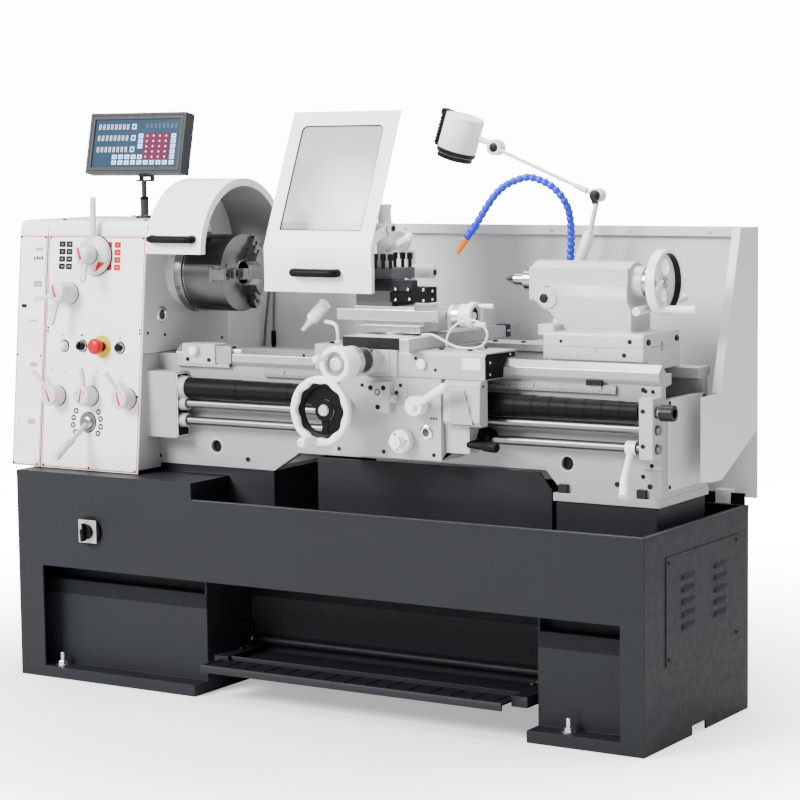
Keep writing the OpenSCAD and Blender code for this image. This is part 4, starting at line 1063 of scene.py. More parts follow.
# switches and buttons
b = B(); b.T = panel(161, 877)
b.rev((0, 0, 0), (0, 0, 1), [(-5, 0), (-5, 8), (2, 8), (2, 10.8), (8, 10.9), (15, 10.6), (16.2, 9.6), (16.5, 0)], "black_plastic", 40)
b.box((-2.8, -10, 14), (2.8, 10, 22.5), "black_plastic")
b.box((-0.6, 3, 22.3), (0.6, 9.5, 22.8), "print_white")
o = b.obj("pump_switch_finish", "pump_switch", 0.8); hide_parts("pump_switch")
b = B(); b.T = panel(287, 876)
b.rev((0, 0, 0), (0, 0, 1), [(-1, 0), (-1, 8), (5.5, 8), (5.5, 10), (12, 10), (13.2, 9.2), (13.5, 8), (12.9, 6), (12.5, 0)], "black_plastic", 40)
o = b.obj("jog_button_finish", "jog_button"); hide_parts("jog_button")
b = B(); b.T = panel(228, 877)
b.rev((0, 0, 0), (0, 0, 1), [(-0.5, 0), (-0.5, 8), (17.5, 8), (17.5, 16), (18.5, 17.4), (21.5, 20.2), (24.5, 21), (32, 21), (35.5, 20.2), (38.5, 17.8), (40.6, 13), (41.6, 7), (42, 0)], "red", 56)
for a in (90, 210, 330):
    t = math.radians(a)
    c_, s_ = math.cos(t), math.sin(t)
    pts = [(13.5, -1.2), (17, -1.2), (17, -2.6), (19.4, 0), (17, 2.6), (17, 1.2), (13.5, 1.2)]
    b.prism("z", 38.2, 39.9, [(x_ * c_ - y_ * s_, x_ * s_ + y_ * c_) for x_, y_ in pts], "print_white") if False else None
o = b.obj("emergency_stop_finish", "emergency_stop"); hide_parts("emergency_stop")

# dark gaskets under the knobs, the strip that closes the panel to the cover, and the gearbox end recess
b = B()
for x, z, r in ((86, 743, 27.5), (196, 747, 27.5), (322, 745, 27.5), (114, 1013, 29.0)):
    b.T = panel(x, z)
    b.ring((0, 0, 0), (0, 0, 1), -0.15, 1.0, r - 3.2, r, "rubber", 56, 0.2)
b.obj("knob_gaskets", "root")
b = B()
b.prism("x", 30.9, 40.5, [(hf(1166.3, 3), 1166.3), (hf(1190, 3), 1190), (hf(1196, 6), 1199), (hf(1200, 12), 1203.5), (hf(1200, 22), 1205), (300, 1205), (300, 1166.3)], "enamel")
b.obj("cover_end_strip", "root", 0.5)
b = B()
b.box((454.9, 112, 652), (455.5, 158, 812), "print_dark")
for y0, z0, y1, z1 in ((110.4, 650.4, 159.6, 652.4), (110.4, 811.6, 159.6, 813.6), (110.4, 652, 112.4, 812), (157.6, 652, 159.6, 812)):
    b.box((454.9, y0, z0), (456.6, y1, z1), "enamel")
b.obj("gearbox_end_plate", "root", 0.2, 1)

# ---------------------------------------------------------------- headstock face, chuck, chuck guard
b = B()
# sight glass with chrome ring
b.ring((360, 176, 960), (1, 0, 0), -0.5, 4.4, 12.2, 21.5, "chrome", 48, 1.8)
b.rev((360, 176, 960), (1, 0, 0), [(0, 12.4), (1.6, 12.4), (2.0, 0)], "sight", 32)
b.rev((360, 176, 960), (1, 0, 0), [(1.9, 0), (1.9, 2.0), (2.2, 2.0), (2.2, 0)], "print_red", 16)
b.ring((360, 150, 688), (1, 0, 0), -0.5, 4.2, 10.6, 19.2, "chrome", 48, 1.8) if False else None
None
b.obj("sight_glasses", "root")
b = B()
for y, z in ((117, 915), (189, 906), (160, 590), (172, 606), (440, 880), (440, 1150), (160, 1150)):
    b.rev((360, y, z), (1, 0, 0), [(-0.2, 4.2), (1.0, 4.2), (1.6, 3.4), (1.6, 1.9), (0.6, 1.8), (0.6, 0)], "blackened", 20)
b.obj("headstock_plugs", "root")
# oil filler cap and lifting screws on the headstock cover
b = B()
for x in (64, 336):
    for y in (150, 445):
        b.socket((x, y, 1205.0), (0, 0, 1), 5.5, 3.5)
b.obj("headstock_cover_fittings", "root")
# nose flange of the casting
b = B()
b.ring((384, AY, AZ), (1, 0, 0), -0.3, 3.2, 62, 86, "cast_enamel", 72, 1.4)
for k in range(6):
    a = math.radians(k * 60 + 25)
    b.socket((387, AY + 74 * math.cos(a), AZ + 74 * math.sin(a)), (1, 0, 0), 4.6, 3.4)
b.obj("spindle_nose_ring", "root")

# chuck: body turned with rings, T-slots, key sockets and cap screws
o = adopt("chuck_body", "chuck_dark", 1.4, mats=("bright_steel",), pick=lambda c, n, a: 1 if c.x < 420 or abs(n.x) > 0.9 else 0)
b = B()
for x, r in ((419.6, 105.0), (424.0, 100.2), (541.0, 100.2)):
    b.rev((x, AY, AZ), (1, 0, 0), [(0, r - 0.6), (0.6, r + 0.25), (1.4, r + 0.25), (2.0, r - 0.6)], "turned", 96, closed=True) if x != 541.0 else None
for k in range(3):
    a = math.radians(120 * k)
    d = Vector((0, math.cos(a), math.sin(a)))
    o_ = Vector((470, AY, AZ)) + d * 99.2
    b.ring(o_, d, -2.2, 1.0, 9.1, 12.4, "blackened", 40, 0.5)
    b.box((0, 0, 0), (0, 0, 0), "blackened") if False else None
    t = d.cross(Vector((1, 0, 0))).normalized()
    # square key hole deep in the socket
    q = o_ - d * 14
    vs = [q + Vector((1, 0, 0)) * sx * 5.2 + t * sy * 5.2 + d * s for s in (0, 6) for sx, sy in ((-1, -1), (1, -1), (1, 1), (-1, 1))]
    b.add(vs, [[3, 2, 1, 0], [4, 5, 6, 7], [0, 1, 5, 4], [1, 2, 6, 5], [2, 3, 7, 6], [3, 0, 4, 7]], "print_dark")
for k in range(6):
    a = math.radians(60 * k + 30)
    if k % 2 == 0:
        b.socket((545.2, AY + 78 * math.cos(a + 0.22), AZ + 78 * math.sin(a + 0.22)), (1, 0, 0), 5.0, 1.0)
    b.rev((545.9, AY + 44 * math.cos(a + 0.3), AZ + 44 * math.sin(a + 0.3)), (1, 0, 0), [(-0.2, 4.6), (0.25, 4.6), (0.25, 3.9), (-0.1, 3.6), (-0.1, 0)], "blackened", 24)
# numbered master marks at the slots
for k, ang in enumerate((180, 60, -60)):
    a = math.radians(ang)
    d = Vector((0, math.cos(a), math.sin(a)))
    t = Vector((1, 0, 0)).cross(d)
    digits(b, str(k + 1), Vector((545.95, AY, AZ)) + d * 90 + t * 22, t, d, 6.5, "print_dark", 0.2)
b.ring((546, AY, AZ), (1, 0, 0), -0.4, 0.9, 28.2, 33, "turned", 64, 0.4)
# backplate screws
for k in range(6):
    a = math.radians(60 * k + 10)
    b.socket((397.3, AY + 92 * math.cos(a), AZ + 92 * math.sin(a)), (-1, 0, 0), 5.6, 5.0)
for a_ in (200, 250):
    a = math.radians(a_)
    b.rev((408, AY + 104.6 * math.cos(a), AZ + 104.6 * math.sin(a)), (0, math.cos(a), math.sin(a)), [(-1, 4.4), (0.6, 4.4), (0.8, 3.6), (0.2, 2.4), (0.2, 0)], "blackened", 20)
b.obj("chuck_details", "spindle")

# jaws: stepped and serrated gripping faces, screws
for k, ang in enumerate((180, 60, -60)):
    nm = "chuck_jaw_%d" % (k + 1)
    adopt(nm, "jaw_steel", 0.8)
    a = math.radians(ang)
    d = Vector((0, math.cos(a), math.sin(a)))
    t = Vector((1, 0, 0)).cross(d)
    b = B()
    b.T = place((0, AY, AZ), (1, 0, 0), d, t) if False else None
    def q_(x, r, s):
        return Vector((x, AY, AZ)) + d * r + t * s
    # serrations: fine ribs on the inner face and on the two steps
    for (x0, x1, r) in ((547, 583, 28), (560.5, 571.5, 51.5) if False else (547, 583, 28),):
        n = 14
        for i in range(n):
            xa = x0 + (x1 - x0) * i / n
            vs = [q_(xa, r + 0.1, -13.2), q_(xa + 1.2, r + 0.1, -13.2), q_(xa + 0.6, r - 0.55, -13.2), q_(xa, r + 0.1, 13.2), q_(xa + 1.2, r + 0.1, 13.2), q_(xa + 0.6, r - 0.55, 13.2)]
            b.add(vs, [[2, 1, 0], [3, 4, 5], [0, 1, 4, 3], [1, 2, 5, 4], [2, 0, 3, 5]], "jaw_steel")
        break
    for s in range(10):
        sa = -12 + 2.5 * s
        for (xx, r0, r1) in ((585.0, 29, 51), (572.0, 53, 74), (559.0, 76, 100)):
            vs = [q_(xx - 0.1, r0, sa), q_(xx - 0.1, r0, sa + 1.0), q_(xx + 0.4, r0, sa + 0.5), q_(xx - 0.1, r1, sa), q_(xx - 0.1, r1, sa + 1.0), q_(xx + 0.4, r1, sa + 0.5)]
            b.add(vs, [[2, 1, 0], [3, 4, 5], [0, 1, 4, 3], [1, 2, 5, 4], [2, 0, 3, 5]], "jaw_steel") if xx < 585 and False else None
    for r in (63, 88):
        x0 = 572.0 if r == 63 else 559.0
        b.rev(q_(x0 - 0.6, r, 0), (1, 0, 0), [(0, 5.2), (0.7, 5.2), (0.7, 3.0), (0.1, 2.8), (0.1, 0)], "blackened", 24)
    digits(b, str(k + 1), q_(553, 88, 14.0), Vector((1, 0, 0)) * -1, d, 6, "print_dark", 0.15) if False else None
    b.obj("jaw_details_%d" % (k + 1), "jaw_%d" % (k + 1))

# chuck guard: rolled sheet, end cheek, hinge barrel, bar handle
adopt("chuck_guard", "enamel", 0.9, mats=("black_plastic", "guard_inside"), pick=lambda c, n, a: 1 if c.y < 99.9 else (2 if (Vector((0, c.y - 290, c.z - 1122)).dot(Vector((0, n.y, n.z))) < -20 and c.x < 560) else 0))
b = B()
path = [(396, 106, 1160), (397, 92, 1160), (402, 85, 1160), (414, 83, 1160), (459, 83, 1160), (504, 83, 1160), (516, 85, 1160), (521, 92, 1160), (522, 106, 1160)]
b.sweep(path, 9.6, "black_plastic", 20, 3.0, rfun=lambda t: 1.0 if 0.08 < t < 0.92 else 1.12)
b.obj("chuck_guard_handle", "chuck_guard")
b = B()
for a in (20, 55, 90, 125):
    t = math.radians(180 - a)
    y, z = 290 + 190.0 * math.cos(t), 1122 + 190.0 * math.sin(t)
    b.rev((380, y - 0.0, z), (0, math.cos(t), math.sin(t)), [(-1.2, 4.6), (0.7, 4.6), (1.6, 3.4), (2.0, 1.6), (2.0, 0)], "enamel", 20)
b.obj("chuck_guard_rivets", "chuck_guard")
b = B()
b.ring((372, 472, 1140), (1, 0, 0), -3, 8, 5.2, 12, "turned", 36, 0.8)
b.hexhead((552.0, 472, 1140), (1, 0, 0), 13, 6, "zinc", ref=(0, 0, 1))
b.obj("guard_pivot_fittings", "root")

# ---------------------------------------------------------------- position readout
s12, c12 = math.sin(math.radians(12)), math.cos(math.radians(12))
TD = place((196, 327, 1322), (1, 0, 0), (0, s12, c12), (0, -c12, s12))
b = B(); b.T = TD
b.box((-165.9, 4.1, 33.6), (141.9, 152.9, 34.3), "dro_face")
for x0, y0, x1, y1 in ((-165.7, 4.3, -156.5, 152.7), (132.5, 4.3, 141.7, 152.7), (-156.6, 4.3, 132.6, 13.5), (-156.6, 143.5, 132.6, 152.7)):
    b.box((x0, y0, 34.0), (x1, y1, 37.8), "anthracite")


def dxy(u, v):
    return -156 + 288 * u, 143.5 - 130 * v


for row, v in enumerate((0.155, 0.39, 0.63)):
    for k in range(8):
        x, y = dxy(0.055 + k * 0.0475, v)
        p = TD @ Vector((x, y, 34.3))
        b.T = None
        digits(b, "8", p, (1, 0, 0.0), (0.0, s12, c12), 14.0, "digit", 0.3, 0.7, 0.12)
        b.T = TD
    x, y = dxy(0.462, v)
    rounded_key = [(x + sx * 7.4, y + sy * 7.4) for sx, sy in ((-1, -1), (1, -1), (1, 1), (-1, 1))]
    b.prism("z", 34.2, 35.2, rounded_key, "key_pale")
    b.box((x - 3.6, y - 4.0, 35.1), (x + 3.6, y + 4.0, 35.4), "dro_face")
for k in range(8):
    x, y = dxy(0.615 + k * 0.048, 0.14)
    b.T = None
    digits(b, "8", TD @ Vector((x, y, 34.3)), (1, 0, 0), (0, s12, c12), 11.6, "digit_dim", 0.25, 0.7, 0.13)
    b.T = TD
x0, y0 = dxy(0.592, 0.30)
x1, y1 = dxy(0.885, 0.845)
b.box((x0, y1, 34.2), (x1, y0, 34.8), "key_maroon")
for r in range(5):
    for c in range(4):
        x, y = dxy(0.629 + c * 0.0735, 0.352 + r * 0.109)
        b.prism("z", 34.7, 35.5, [(x + sx * 8.8, y + sy * 6.0) for sx, sy in ((-1, -1), (1, -1), (1, 1), (-1, 1))], "key_maroon")
        b.rev((x, y, 35.4), (0, 0, 1), [(0, 2.3), (0.3, 2.3), (0.3, 0)], "print_white", 14)


def key(u, v):
    x, y = dxy(u, v)
    b.prism("z", 34.2, 35.6, [(x + sx * 7.9 * a, y + sy * 5.9 * a) for sx, sy, a in ((-1, -1, 1), (1, -1, 1), (1, 1, 1), (-1, 1, 1))], "key_pale")
    b.box((x - 3.6, y - 0.8, 35.5), (x + 3.6, y + 0.8, 35.8), "dro_face")
    b.box((x - 1.0, y - 2.7, 35.5), (x + 1.0, y + 2.7, 35.8), "dro_face")


for v in (0.352, 0.461, 0.57):
    key(0.553, v)
for v in (0.352, 0.461, 0.57, 0.679, 0.788, 0.905):
    key(0.935, v)
for k in range(5):
    key(0.262 + k * 0.0745, 0.788)
for k in range(9):
    key(0.262 + k * 0.0745, 0.905)
b.obj("readout_face", "dro_console", 0.35, 1)
b = B(); b.T = TD
# back of the case: vent ribs, cable sockets, cover screws
for k in range(9):
    b.box((-120 + k * 24, 60, -1.6), (-106 + k * 24, 120, 0.2), "anthracite")
for x in (-164, 140):
    for y in (6, 150):
        b.rev((x, y, 0.2), (0, 0, -1), [(-0.4, 3.2), (0.8, 3.2), (1.6, 2.2), (0.6, 1.2), (0.6, 0)], "blackened", 18)
for x in (-90, -60, -30):
    b.ring((x, 24, 0.1), (0, 0, -1), -0.4, 4.5, 5.6, 9.2, "zinc", 32, 0.5)
b.obj("readout_back", "dro_console", 0.3, 1)
b = B()
b.rev((196, 325, 1256), (0, 0, 1), [(-1, 11), (0.6, 12.2), (4, 12.2), (6, 10), (7, 7.2)], "black_plastic", 36)
for x, d in ((173.6, -1), (218.4, 1)):
    b.hexhead((x, 337, 1322), (d, 0, 0), 10, 4.5, "zinc", ref=(0, 0, 1))
for x in (185, 207):
    for y in (314, 336):
        b.rev((x, y, 1212), (0, 0, 1), [(-0.4, 2.6), (0.7, 2.6), (1.3, 1.8), (0.5, 1.0), (0.5, 0)], "zinc", 18)
b.obj("mast_fittings", "root")

# ---------------------------------------------------------------- tool guard: sheet with window, clear pane, seal, handle
SL = math.sqrt(145 ** 2 + 332 ** 2)
us = Vector((0, 145 / SL, 332 / SL))
ns = Vector((0, -332 / SL, 145 / SL))


def gyz(z):
    return 98 + (z - 1147) * 145 / 332


TG = place((904.5, gyz(1315), 1315), (1, 0, 0), us, ns)


def rrect(w, h, rt, rb, n=7):
    pts = []
    for sx, sy, a0, r in ((1, 1, 0, rt), (-1, 1, 90, rt), (-1, -1, 180, rb), (1, -1, 270, rb)):
        for k in range(n + 1):
            t = math.radians(a0 + 90 * k / n)
            pts.append((sx * (w / 2 - r) + r * math.cos(t), sy * (h / 2 - r) + r * math.sin(t)))
    return pts


b = B()
b.prism("x", 747, 1066, [(98, 1034), (101, 1034), (101, 1146), (246, 1478), (243, 1479), (98, 1147)], "guard_enamel")
sheet = b.obj("tool_guard_sheet", None)
b = B(); b.T = TG
b.prism("z", -16, 16, rrect(243, 281, 15, 5), "guard_enamel")
cutter = b.obj("tool_guard_cutter", None)
cut(sheet, cutter)
bv = sheet.modifiers.new("edge", "BEVEL"); bv.width = 0.0008; bv.segments = 2; bv.limit_method = "ANGLE"; bv.angle_limit = math.radians(25); bv.harden_normals = True
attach(sheet, "tool_guard")
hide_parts("tool_guard")
b = B()
b.prism("x", 747.2, 749, [(98.2, 1034.2), (112, 1034.2), (112, 1146), (98.2, 1146)], "guard_enamel")
b.prism("x", 1064, 1065.8, [(98.2, 1034.2), (112, 1034.2), (112, 1146), (98.2, 1146)], "guard_enamel")
b.box((747.2, 98.2, 1034.2), (1065.8, 112, 1036), "guard_enamel")
for x in (800, 1056):
    b.prism("x", x, x + 9, [(101.2, 1150), (112.4, 1176), (185, 1202), (185, 1178)], "guard_enamel")
    b.ring((x, 185, 1190), (1, 0, 0), 0, 9, 12.06, 18, "guard_enamel", 48, 0.8)
    b.rev((x + 4.5, 112, 1160), (0, -1, 0.44), [(0, 0)], "zinc") if False else None
b.obj("tool_guard_frame", "tool_guard", 0.7)
b = B(); b.T = TG
b.prism("z", -5.9, -3.3, rrect(259, 293, 10, 6), "clear_pane")
b.obj("tool_guard_pane", "tool_guard", 0.4, 1)
b = B(); b.T = TG
line = [(x, y, -1.7) for x, y in rrect(241.6, 279.6, 15, 5, 9)]
for i in range(len(line)):
    p, q = Vector(line[i]), Vector(line[(i + 1) % len(line)])
    if (q - p).length < 0.2:
        continue
    b.rev(p, q - p, [(-0.3, 1.5), ((q - p).length + 0.3, 1.5)], "rubber", 10)
b.obj("tool_guard_seal", "tool_guard")
b = B(); b.T = TG
for x in (-124.5, 124.5):
    for y in (-130, 0, 130):
        b.rev((x, y, -6), (0, 0, -1), [(-0.4, 3.4), (1.0, 3.4), (2.2, 2.2), (2.2, 0)], "zinc", 16)
b.obj("tool_guard_clips", "tool_guard")
b = B()
path = [(843, 98.5, 1083), (843, 90, 1083), (845, 83, 1083), (852, 79, 1083), (870, 78, 1083), (905, 78, 1083), (940, 78, 1083), (958, 79, 1083), (965, 83, 1083), (967, 90, 1083), (967, 98.5, 1083)]
b.sweep(path, 10.5, "black_plastic", 24, 2.5)
b.obj("tool_guard_handle", "tool_guard")
b = B()
for x in (843, 967):
    b.rev((x, 101, 1083), (0, 1, 0), [(-0.2, 6), (0.8, 6), (2.4, 5), (2.4, 0)], "zinc", 6)
b.obj("tool_guard_handle_nuts", "tool_guard")

# the bar, column and cap that carry the guard, and the hinge disc and bracket behind the tool post
adopt("compound_slide", "cast_enamel", 1.0, mats=("ground_x", "enamel"), pick=lambda c, n, a: 1 if c.z < 1000.6 else 2)
b = B()
b.rev((1033, 213, 1238), (0, 0, 1), [(-3, 14.6), (-2, 16), (4, 16.6), (8.4, 18.4), (9.6, 18.4), (10.6, 16.5), (10.6, 0)], "guard_enamel", 40)
b.rev((775, 185, 1190), (-1, 0, 0), [(-12, 12.1), (-11, 15.5), (3, 15.5), (4.5, 14), (4.5, 6), (3.4, 5.5), (3.4, 0)], "guard_enamel", 40)
b.rev((1068, 185, 1190), (1, 0, 0), [(-1, 12), (1.5, 14.5), (5, 14.5), (6.2, 13), (6.2, 0)], "guard_enamel", 40)
b.hexhead((1074, 185, 1190), (1, 0, 0), 13, 5, "blackened", ref=(0, 0, 1))
b.obj("guard_bar_fittings", "compound_slide")
b = B()
for x in (1006, 1030):
    for y in (399, 421):
        b.socket((x, y, 941), (0, 0, 1), 4.2, 3.4)
b.obj("guard_bracket_screws", "cross_slide", 0.8)
b = B()
b.rev((955, 404, 1147), (0, -1, 0), [(-0.2, 26.4), (0.9, 26.0), (1.1, 22.5), (0.5, 21.8), (0.5, 9), (1.4, 8.2), (1.4, 0)], "guard_enamel", 56)
for dx, dz in ((-7, -13), (9, -9)):
    b.rev((955 + dx, 404, 1147 + dz), (0.5, -1, 0.6), [(-0.3, 3.4), (8, 3.4), (9, 2.6), (9, 0)], "guard_enamel", 20)
b.obj("guard_clamp_disc", "cross_slide")
b = B()
for x in (997, 1006, 1015, 1024, 1033, 1042):
    b.rev((x, 410, 1072), (1, 0, 0), [(0, 16.9), (0.5, 17.7), (3.4, 17.7), (3.9, 16.9)], "guard_enamel", 48, closed=True)
b.rev((1054, 410, 1072), (1, 0, 0), [(-0.2, 15.6), (1.0, 15.2), (2.2, 13.0), (2.2, 0)], "guard_enamel", 40)
b.rev((1056, 410, 1070), (1, 0, 0), [(0, 8), (0.6, 8), (0.8, 0)], "blackened", 28)
b.obj("guard_knob_rings", "cross_slide")

# ---------------------------------------------------------------- apron face: bolts, marks, sight glass, pads
b = B()
for x, z in ((1097, 812), (1134, 813), (1117, 766)):
    b.socket((x, 40, z), (0, -1, 0), 6.0, 3.0)
b.ring((1116, 40, 802), (0, -1, 0), -0.4, 0.8, 5.2, 7.6, "print_dark", 32, 0.3)
b.rev((1118, 40, 825), (0, -1, 0), [(-0.2, 0)], "zinc") if False else None
b.rev((1158, 48, 786), (-1, 0, 0), [(7.8, 8.8), (9.2, 7.6), (9.2, 0)], "black_plastic", 32)
for x, z, r in ((1170, 819, 3.4), (1159, 801, 3.4), (1206, 765, 3.4), (1260, 801.5, 3.8), (1278, 821, 3.4), (1060, 815, 3.4), (990, 815, 3.4), (990, 655, 3.8), (1120, 655, 3.8), (1262, 655, 3.8)):
    b.socket((x, 60, z), (0, -1, 0), r + 1.2, 1.8)
b.obj("apron_screws", "carriage")
b = B()
for k in range(9):
    b.box((1189, 59.75, 784 + 4.6 * k), (1190.2, 60.1, 786.8 + 4.6 * k), "print_dark")
b.box((1189, 59.75, 782), (1200.6, 60.1, 783.2), "print_dark")
b.prism("y", 59.75, 60.1, [(1192, 758), (1198, 758), (1195, 767)], "print_dark")
b.prism("y", 59.7, 60.1, [(1250, 738), (1275, 738), (1275, 748), (1250, 748)], "plate_grey")
for k in range(3):
    b.prism("y", 59.5, 59.9, [(1253 + 7.4 * k, 740.5), (1257.5 + 7.4 * k, 740.5), (1257.5 + 7.4 * k, 745.5), (1253 + 7.4 * k, 745.5)], "print_dark")
b.obj("apron_marks", "carriage")
b = B()
b.hexhead((1242.5, 60, 708.5), (0, -1, 0), 32, 5, "chrome", ref=(0, 0, 1))
b.ring((1242.5, 55.2, 708.5), (0, -1, 0), -1, 1.6, 9.6, 13.6, "chrome", 40, 0.5)
b.rev((1242.5, 55, 708.5), (0, -1, 0), [(-1, 9.8), (0.6, 9.8), (0.9, 0)], "sight", 32)
b.obj("apron_sight_glass", "carriage")
b = B()
# the seams and slots of the thinner block at the right, the hatched pad of the lever box
b.box((1283.2, 75.2, 662), (1284.6, 76.4, 832), "print_dark")
for z in (708, 670):
    b.prism("y", 91.4, 92.2, [(1313, z - 2.6), (1330, z - 2.6), (1331.5, z), (1330, z + 2.6), (1313, z + 2.6), (1311.5, z)], "print_dark")
pad = place((1300, 48, 740), (1, 0, 0), (0, 4 / 89.1, 89 / 89.1), (0, -89 / 89.1, 4 / 89.1))
b.T = pad
b.prism("z", -0.1, 0.6, [(9, 74), (53, 74), (78, -6), (24, -6)], "plate_grey")
b.prism("z", -0.1, 0.9, [(53, 74), (55, 74), (80.4, -6), (78, -6)], "print_dark")
b.prism("z", -0.1, 0.9, [(24, -6), (78, -6), (78, -7.6), (23.4, -7.6)], "print_dark")
for k in range(11):
    b.prism("z", 0.5, 1.0, [(14 + 5.6 * k * 0.9, 70), (15.4 + 5.6 * k * 0.9, 70), (20 + 5.6 * k, 2), (18.6 + 5.6 * k, 2)] if 20 + 5.6 * k < 77 else [(14, 70), (15, 70), (15, 69), (14, 69)], "print_grey")
b.T = None
b.rev((1396, 66, 825), (1, 0, 0), [(-0.2, 4), (0.8, 4), (1.4, 3.2), (1.4, 0)], "blackened", 24)
b.obj("apron_right_details", "carriage", 0.2, 1)
b = B()
# oil nipples, plates and bolts of the saddle
for x, z in ((1265, 859), (1145, 887), (1210, 885), (885, 880)):
    b.rev((x, 66, z), (0, -1, 0), [(-0.2, 4.2), (0.8, 4.2), (1.6, 3.0), (0.9, 2.0), (1.3, 0)], "blackened", 22)
b.box((1339, 64.9, 863), (1391, 66.2, 891), "enamel")
for k in range(9):
    b.box((1341.5 + 5.6 * k, 64.1, 865), (1344.5 + 5.6 * k, 65.2, 889), "enamel")
for x in (900, 960):
    for y in (170, 400):
        b.socket((x, y, 903), (0, 0, 1), 6.5, 4.0)
for x in (1250, 1330):
    for y in (120, 190, 380):
        b.socket((x, y, 903), (0, 0, 1), 6.5, 4.0)
b.rev((1228, 60.2, 872), (0, -1, 0), [(-0.5, 13), (1.5, 12.6), (3.6, 9.6), (4.4, 5.0), (4.6, 0)], "enamel", 36)
b.obj("saddle_fittings", "carriage", 0.3, 1)
b = B()
# wipers on the ways, left and right
b.box((866.5, 140, 843), (868.3, 148, 854), "rubber")
b.box((866.2, 150, 868), (868.3, 166, 879), "rubber")
b.prism("x", 1401.8, 1405, [(60, 800) if False else (66, 841), (146, 841), (149, 866), (168, 886), (206, 886), (206, 898), (72, 900), (66, 894)], "rubber")
b.prism("x", 1401.8, 1405, [(365, 886), (430, 886), (466, 862), (466, 896), (440, 900), (365, 900)], "rubber")
for y, z in ((84, 880), (180, 893), (400, 893), (84, 852)):
    b.rev((1405, y, z), (1, 0, 0), [(-0.2, 3.4), (0.8, 3.4), (1.6, 2.4), (1.6, 0)], "zinc", 18)
b.obj("way_wipers", "carriage", 0.3, 1)
b = B()
# reading head and scale bar of the cross slide, with screws
b.box((1057, 149, 949), (1138.5, 150.4, 967), "enamel") if False else None
b.box((1185.6, 495, 904), (1214.6, 519, 936), "anthracite")
b.box((1186.2, 120, 934), (1213.8, 480, 934.8), "ground_x")
for k in range(12):
    b.box((1190, 134 + 28 * k, 934.7), (1198, 134.5 + 28 * k, 934.95), "print_dark")
for y in (504, 512):
    b.rev((1214.6, y, 920), (1, 0, 0), [(-0.2, 3), (1.0, 3), (1.4, 2), (1.4, 0)], "zinc", 18)
b.obj("cross_scale_details", "carriage", 0.3, 1)
cable("reader_cable", "carriage", [(1189, 130, 936), (1208, 130, 938), (1228, 130, 934), (1279, 130, 912), (1321, 130, 908), (1350, 132, 913), (1364, 134, 925), (1368, 136, 945), (1354, 137, 964), (1326, 137, 975), (1289, 137, 968), (1262, 136, 944), (1252, 140, 918), (1250, 150, 905)], 2.8, "white_plastic", 10, 5)
b = B()
b.box((1334, 141, 902.8), (1348, 157, 912), "zinc")
b.obj("reader_cable_clip", "carriage")
b = B()
# small spot nozzle on its arm at the saddle's left wing
b.sweep([(906, 190, 903), (904, 190, 935), (893, 191, 950), (866, 192, 955)], 5.0, "enamel", 16, 4)
b.rev((906, 190, 902.8), (0, 0, 1), [(0, 11), (4, 11), (5, 9.5), (5, 5)], "enamel", 28)
d_ = Vector((792, 200, 931)) - Vector((866, 194, 1000))
L_ = d_.length
b.rev((866, 194, 1000), d_, [(0, 12), (2, 16), (58, 16.5), (60, 15), (60.5, 12), (70, 12), (71, 10.5), (84, 10), (85, 8.5), (L_ - 2, 8), (L_, 6), (L_ - 2, 4.5), (L_ - 2, 0)], "enamel", 40)
b.rev(Vector((866, 194, 1000)) + d_.normalized() * 60.4, d_, [(0, 12.1), (10, 12.1), (10.8, 10.6), (24, 10.1), (25, 8.6), (L_ - 62.4, 8.1), (L_ - 60.4, 6.1), (L_ - 62.6, 4.4), (L_ - 62.6, 0)], "silver", 40)
b.obj("spot_nozzle", "carriage")

# apron handwheel: rounded rim with a fluted inner edge, black back ring, dished web, hub and crank grip
def fluted(b, o, r_out, r_in, z0, z1, amp, lobes, material, n=120):
    """Rim with a wavy inner edge, local axis -Y; o is the centre."""
    P = []
    for k in range(n):
        t = 2 * math.pi * k / n
        P.append((math.cos(t), math.sin(t), r_in + amp * math.cos(lobes * t)))
    prof = []
    K = 10
    rows = []
    for k, (c, s, ri) in enumerate(P):
        mid = (r_out + ri) / 2
        hw = (r_out - ri) / 2
        h = (z1 - z0) / 2
        ring_ = []
        for j in range(16):
            a = 2 * math.pi * j / 16
            ca, sa = math.cos(a), math.sin(a)
            rr = mid + hw * math.copysign(abs(ca) ** 0.6, ca)
            zz = (z0 + z1) / 2 + h * math.copysign(abs(sa) ** 0.6, sa)
            ring_.append(Vector(o) + Vector((rr * c, -zz, rr * s)))
        rows.append(ring_)
    vs = [p for r_ in rows for p in r_]
    fs = []
    for k in range(n):
        k2 = (k + 1) % n
        for j in range(16):
            j2 = (j + 1) % 16
            fs.append([k * 16 + j, k2 * 16 + j, k2 * 16 + j2, k * 16 + j2])
    b.add(vs, fs, material)


